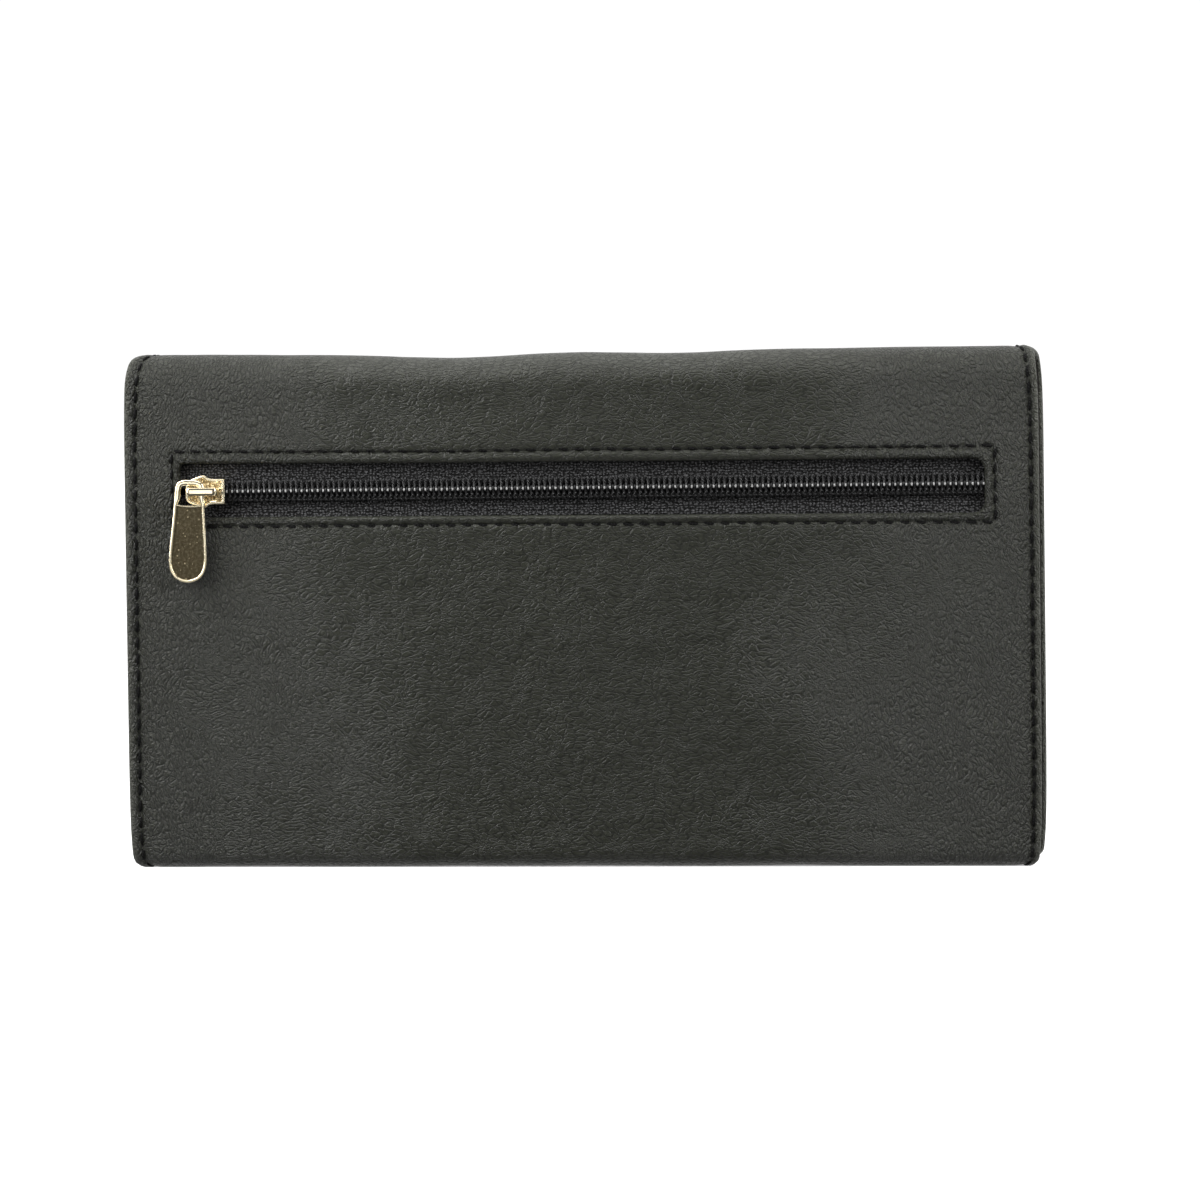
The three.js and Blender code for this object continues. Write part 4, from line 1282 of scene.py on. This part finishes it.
def make_coils():
    """The coil's two halves as wound monofilament, and the threads that sew them to the tapes."""
    low, high = box("zip_coil_upper")
    y = (low[1] + high[1]) / 2
    start = low[0] - 0.07  # clear of the slider's post when the zip is closed
    count = math.ceil((WINDOW[1] + 0.4 - start) / COIL_PITCH)
    for half in ("upper", "lower"):
        sign = 1 if half == "upper" else -1
        for side, turns in (("left", range(count // 2)), ("right", range(count // 2, count))):
            line = coil_line(start, turns, half, y)
            heads = bell((line[:, 2] - ZIP_Z) * sign, 0.4)
            size = np.repeat((1 + 0.25 * heads)[:, None], 2, 1)
            points, faces = sweep(line, (1, 0, 0), round_section(COIL_WIRE), size)
            along_turn = (points[:, 0] - start - 0.08 + COIL_PITCH / 2) % COIL_PITCH - COIL_PITCH / 2
            uv = np.column_stack([along_turn, points[:, 2]])
            coil = Shape().add(points, faces, uv).build(f"zip_coil_{half}_{side}", NYLON[half], sharp=70)
            part_from_end(coil, half, -1 if side == "left" else 1)
            if side == "left":
                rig.replaces(coil, f"zip_coil_{half}")
            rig.slot(coil, "zip_coil")
            threads = Shape()
            for k in turns:
                x = start + k * COIL_PITCH + (0.08 if sign > 0 else 0.08 + COIL_PITCH / 2)
                for x0, z0, x1, z1, radius in ((-0.28, 1.6, 0.2, 1.0, 0.15), (-0.05, 1.85, 0.35, 1.85, 0.12)):
                    t = np.linspace(0, 1, 6)
                    bulge = y - 0.22 - 0.26 * np.sin(np.pi * t)
                    height = ZIP_Z + sign * (z0 + (z1 - z0) * t)
                    path = np.column_stack([x + x0 + (x1 - x0) * t, bulge, height])
                    threads.add(*sweep(path, (0.6, 0, 0.8), round_section(radius, 5)))
            sewn = threads.build(f"zip_threads_{half}_{side}", THREAD_TAPE)
            part_from_end(sewn, half, -1 if side == "left" else 1)
            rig.slot(sewn, "zip_tape")


def smooth_outline(points, steps):
    """A closed curve through points in X and Z."""
    p = np.asarray(points, float)
    before, after, later = np.roll(p, 1, 0), np.roll(p, -1, 0), np.roll(p, -2, 0)
    made = []
    for i in range(len(p)):
        for t in np.linspace(0, 1, steps, endpoint=False):
            made.append(0.5 * (2 * p[i] + (after[i] - before[i]) * t
                               + (2 * before[i] - 5 * p[i] + 4 * after[i] - later[i]) * t**2
                               + (3 * p[i] - before[i] - 3 * after[i] + later[i]) * t**3))
    return np.array(made)


def inset(outline, distance):
    """The outline moved inwards. It turns anticlockwise in X and Z."""
    forward = along(outline, True)
    return outline + distance * np.column_stack([-forward[:, 1], forward[:, 0]])


def bevelled(shape, outline, back, front, bevel, crown=0.0, rim=0.0, recess=0.0, hammered=0.0):
    """A plate with rounded edges between two depths, its front crowned or sunk inside a rim."""
    steps = [(bevel, back), (0.3 * bevel, back - 0.3 * bevel), (0, back - bevel), (0, front + bevel),
             (0.12 * bevel, front + 0.5 * bevel), (0.45 * bevel, front + 0.12 * bevel), (bevel, front)]
    if rim:
        steps += [(rim, front), (rim + 0.1, front + 0.4 * recess), (rim + 0.2, front + recess)]
    rings = [(inset(outline, d), np.full(len(outline), y)) for d, y in steps]
    flat, _ = rings[-1]
    centre = flat.mean(0)
    floor = front + recess
    rimmed = len(rings)
    for share in (0.86, 0.72, 0.58, 0.44, 0.3, 0.16, 0.06):
        ring = centre + (flat - centre) * share
        dents = hammered * waves(ring[:, 0], ring[:, 1], (0.9, 0.9), 3.5) if hammered else 0.0
        rings.append((ring, floor - crown * (1 - share**2) + dents + np.zeros(len(ring))))
    stack = [np.column_stack([xz[:, 0], y, xz[:, 1]]) for xz, y in rings]
    points, faces = skin(stack)
    around = len(outline)
    slots = [1 if i // around >= rimmed - 1 else 0 for i in range(len(faces))]
    slots[-2:] = [0, 1]
    shape.add(points, faces, None, slots)


def make_slider():
    """Cast slider: two plates with round shoulders, flanges and post, and the bail on the front plate."""
    low, high = box("zip_slider")
    left, z0, length = low[0], ZIP_Z, 8.38
    half = [(0.1, 0.8), (0.35, 1.9), (1.4, 2.6), (2.8, 3.1), (3.95, 3.4), (4.6, 3.15), (5.1, 2.78),
            (6.2, 2.62), (7.4, 2.62), (8.1, 2.6), (8.32, 2.45), (length, 2.1), (length, 1.0)]
    lower = [(left + x, z0 - z) for x, z in half]
    upper = [(left + x, z0 + z) for x, z in reversed(half)]
    outline = smooth_outline([(left + 0.45, z0), *lower, (left + length, z0), *upper], 4)
    shape = Shape()
    bevelled(shape, outline, BACK + 0.02, BACK - 0.9, 0.25, crown=0.1, rim=0.5, recess=0.16, hammered=0.07)
    channel = high[1] - 0.7
    bevelled(shape, inset(outline, 0.3), high[1], channel, 0.2)
    for sign in (-1, 1):
        edge = z0 + sign * 2.52  # clear of the coil's outer side
        line = [(x, BACK + 0.6, edge) for x in np.linspace(left + 3.8, left + 8.3, 6)]
        shape.add(*sweep(line, (0, 0, 1), soft_rectangle(0.25, 1.3, 5, 16)))
    post = [(left + 1.8, y, z0) for y in np.linspace(BACK - 0.3, channel + 0.2, 5)]
    shape.add(*sweep(post, (0, 0, 1), soft_rectangle(1.0, 1.5, 4, 16)))
    bail_left, bail_right = left + 0.5, left + 7.15
    foot, bar, bend = BACK - 0.75, low[1] + 0.45, 0.46
    turn = np.radians(np.linspace(0, 90, 6))
    x0, x1 = bail_left + 0.45, bail_right - 0.45
    line = [(x0, foot, z0), (x0, bar + bend, z0)]
    line += [(x0 + bend * (1 - math.cos(t)), bar + bend * (1 - math.sin(t)), z0) for t in turn[1:]]
    line += [(x, bar, z0) for x in np.linspace(x0 + bend, x1 - bend, 8)[1:]]
    line += [(x1 - bend * (1 - math.sin(t)), bar + bend * (1 - math.cos(t)), z0) for t in turn[1:]]
    line += [(x1, foot, z0)]
    shape.add(*sweep(line, (0, 0, 1), soft_rectangle(1.7, 0.9, 4, 24)))
    lug = smooth_outline([(bail_right + 0.1, z0 - 0.75), (left + 8.0, z0 - 0.6), (left + 8.15, z0),
                          (left + 8.0, z0 + 0.6), (bail_right + 0.1, z0 + 0.75)], 4)
    bevelled(shape, lug, BACK - 0.8, BACK - 1.5, 0.2)
    slider = shape.build("slider_body", GOLD, GOLD_PITTED)
    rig.ride(slider, "slider")
    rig.replaces(slider, "zip_slider")
    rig.slot(slider, "gold_metal")


def make_pull():
    """The pull: a polished rim all round, a ring at its neck, and a speckled leaf sunk between the rims."""
    low, high = box("zip_pull")
    x0, top = (low[0] + high[0]) / 2 - 0.12, high[2]
    lean = math.radians(2.4)
    half = [(0, -21.4), (2.2, -20.75), (3.5, -19.3), (4.0, -17.3), (3.9, -14.2), (3.55, -9.8), (3.3, -6.2),
            (3.2, -3.8), (3.1, -1.9), (2.6, -0.6), (1.4, -0.05)]
    right = [(x0 + x, top + z) for x, z in half]
    left = [(x0 - x, top + z) for x, z in reversed(half[1:])]
    outline = smooth_outline([*right, (x0, top), *left], 7)
    y = (low[1] + high[1]) / 2
    below = top - outline[:, 1]
    wide = 0.64 + 0.64 * (1 - ease(below, 3.6, 5.6))
    middle = outline + np.column_stack([-along(outline, True)[:, 1], along(outline, True)[:, 0]]) * (
        wide / 2)[:, None]
    line = np.column_stack([middle[:, 0], np.full(len(middle), y), middle[:, 1]])
    scale = np.column_stack([np.ones(len(line)), wide])
    section = soft_rectangle(high[1] - low[1], 1.0, 3.2, 18)
    shape = Shape().add(*sweep(line, (0, 1, 0), section, scale, loop=True))
    cross = 5.3
    leaf = inset(outline, 0.3)
    leaf = leaf[(top - leaf[:, 1]) > cross]
    order = np.argsort(np.where(leaf[:, 0] >= x0, 1, 0) * 1000 + np.where(leaf[:, 0] >= x0, leaf[:, 1],
                                                                       -leaf[:, 1]))
    leaf = leaf[order]
    across = np.linspace(1, -1, 11)[1:-1]
    edge_width = abs(leaf[-1][0] - x0)
    brow = np.column_stack([x0 + edge_width * across, top - cross - 0.3 * (1 - across**2)])
    plate = np.vstack([leaf, brow])
    bevelled(shape, plate, high[1] - 0.1, low[1] + 0.3, 0.12, hammered=0.03)
    bar_line = np.array([(x, y, top - cross - 0.3 * (1 - ((x - x0) / edge_width) ** 2))
                         for x in np.linspace(x0 - edge_width, x0 + edge_width, 12)])
    shape.add(*sweep(bar_line, (0, 1, 0), soft_rectangle(high[1] - low[1] - 0.06, 0.5, 3, 14)))
    hung_at = np.array([x0, 0, top - 5])
    turn = np.array([[math.cos(lean), 0, math.sin(lean)], [0, 1, 0], [-math.sin(lean), 0, math.cos(lean)]])
    shape.points = [(points - hung_at) @ turn.T + hung_at for points in shape.points]
    pull = shape.build("pull_leaf", GOLD, GOLD_SPECKLED)
    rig.ride(pull, "pull")
    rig.replaces(pull, "zip_pull")
    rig.slot(pull, "gold_metal")


# ---- The snap ----


def make_snap():
    """Both halves of the magnetic snap, turned with soft edges, and the washers behind them."""
    low, high = box("snap_socket")
    turned("socket_cup", "front_wall", "snap_socket",
           [(0, low[1]), (6.6, low[1]), (6.95, low[1] + 0.12), (7, high[1] - 0.3), (6.9, high[1] - 0.1),
            (6.6, high[1]), (5.2, high[1] - 0.02), (5.0, high[1] - 0.1), (4.8, high[1] - 0.02),
            (3.6, high[1]), (3.35, high[1] - 0.12), (3.3, high[1] - 0.6), (0, high[1] - 0.6)])
    low, high = box("snap_stud")
    face = high[1] - 0.8
    turned("stud_cap", "flap", "snap_stud",
           [(0, low[1]), (2.5, low[1]), (2.75, low[1] + 0.1), (2.8, face - 0.1), (2.95, face), (5.2, face),
            (5.4, face + 0.1), (5.6, face), (6.6, face), (6.92, face + 0.1), (7, face + 0.3), (7, high[1]),
            (0, high[1])])
    for node in ("snap_socket_washer", "snap_stud_washer"):
        dress(node, STEEL)


def turned(name, body, node, profile):
    """A piece turned about the middle of a CAD node, from pairs of radius and depth."""
    low, high = box(node)
    x, z = (low[0] + high[0]) / 2, (low[2] + high[2]) / 2
    angles = circle(48)
    rings = [[(x + max(r, 0.02) * math.cos(a), y, z + max(r, 0.02) * math.sin(a)) for a in angles]
             for r, y in profile]
    piece = Shape().add(*skin(rings)).build(name, GOLD, sharp=30)
    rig.ride(piece, body)
    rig.replaces(piece, node)
    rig.slot(piece, "gold_metal")


# ---- Studio ----


def make_studio():
    """A pale floor, soft lights and a pale sky that is dark behind the camera."""
    floor = bpy.data.meshes.new("floor")
    floor.from_pydata([(-9, -3, 0), (9, -3, 0), (9, 12, 0), (-9, 12, 0)], [], [(0, 1, 2, 3)])
    paper = Finish("floor_paper", Roughness=0.9, Base_Color=(0.9, 0.9, 0.9, 1), Emission_Color=(1, 1, 1, 1),
                   Emission_Strength=0.35)
    floor.materials.append(paper.material)
    ground = add_object("floor", floor)
    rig.stage(ground)
    ground.visible_diffuse = False
    ground.visible_glossy = False
    sun = bpy.data.lights.new("sky_panel", "SUN")
    sun.energy = 1.3
    sun.angle = math.radians(50)
    add_object("sky_panel", sun)
    wallet_middle = Vector((0, 0, 0.055))
    # Name, place, size and power of each.
    panels = (
        ("key_panel", (-0.1, -0.45, 0.75), (0.7, 0.4), 1.4),
        ("left_panel", (-0.25, -0.12, 0.21), (0.12, 0.3), 1.0),
        ("right_panel", (0.27, -0.12, 0.22), (0.12, 0.3), 0.8),
        ("front_panel", (-0.25, -1.25, 0.05), (0.6, 0.4), 1.2),
    )
    for name, place, size, power in panels:
        data = bpy.data.lights.new(name, "AREA")
        data.shape = "RECTANGLE"
        data.size, data.size_y = size
        data.energy = power
        lamp = add_object(name, data)
        lamp.location = place
        lamp.visible_camera = False
        lamp.rotation_euler = (wallet_middle - Vector(place)).to_track_quat("-Z", "Y").to_euler()
    world = bpy.data.worlds.new("studio")
    bpy.context.scene.world = world
    world.use_nodes = True
    tree = world.node_tree
    background = tree.nodes["Background"]
    background.inputs["Color"].default_value = (1, 1, 1, 1)
    direction = tree.nodes.new("ShaderNodeTexCoord")
    behind = tree.nodes.new("ShaderNodeVectorMath")
    behind.operation = "DOT_PRODUCT"
    behind.inputs[1].default_value = (0, 1, -0.22)
    tree.links.new(direction.outputs["Generated"], behind.inputs[0])
    pale = tree.nodes.new("ShaderNodeMapRange")
    pale.interpolation_type = "SMOOTHSTEP"
    tree.links.new(behind.outputs["Value"], pale.inputs["Value"])
    for name, value in (("From Min", -0.4), ("From Max", -0.05), ("To Min", 0.08), ("To Max", 1.05)):
        pale.inputs[name].default_value = value
    tree.links.new(pale.outputs[0], background.inputs["Strength"])


def make_camera():
    """The photograph's viewpoint: a little to the right of the wallet and above it, with a slight roll."""
    azimuth, elevation, roll, distance = (math.radians(7.12), math.radians(2.07), math.radians(0.72), 1.05)
    target = Vector((4.57 * MM, BACK * MM, 55.2 * MM))
    back = Vector((math.sin(azimuth) * math.cos(elevation), -math.cos(azimuth) * math.cos(elevation),
                   math.sin(elevation)))
    data = bpy.data.cameras.new("camera")
    data.lens = 152.9
    data.clip_start, data.clip_end = 0.05, 50
    camera = add_object("camera", data)
    camera.location = target + back * distance
    turn = (-back).to_track_quat("-Z", "Y")
    camera.rotation_mode = "QUATERNION"
    camera.rotation_quaternion = turn @ Euler((0, 0, -roll)).to_quaternion()
    bpy.context.scene.camera = camera


make_camera()
make_studio()
bpy.context.scene.view_settings.view_transform = "Standard"
make_outer_leather()
make_pocket()
make_linings()
make_card_slots()
make_gussets()
make_tapes()
make_coils()
make_slider()
make_pull()
make_snap()

low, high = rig.bounds()
sizes = {"cad": [list(cad_low), list(cad_high)], "visual": [list(low), list(high)]}
with open("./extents.json", "w") as out:
    json.dump(sizes, out)
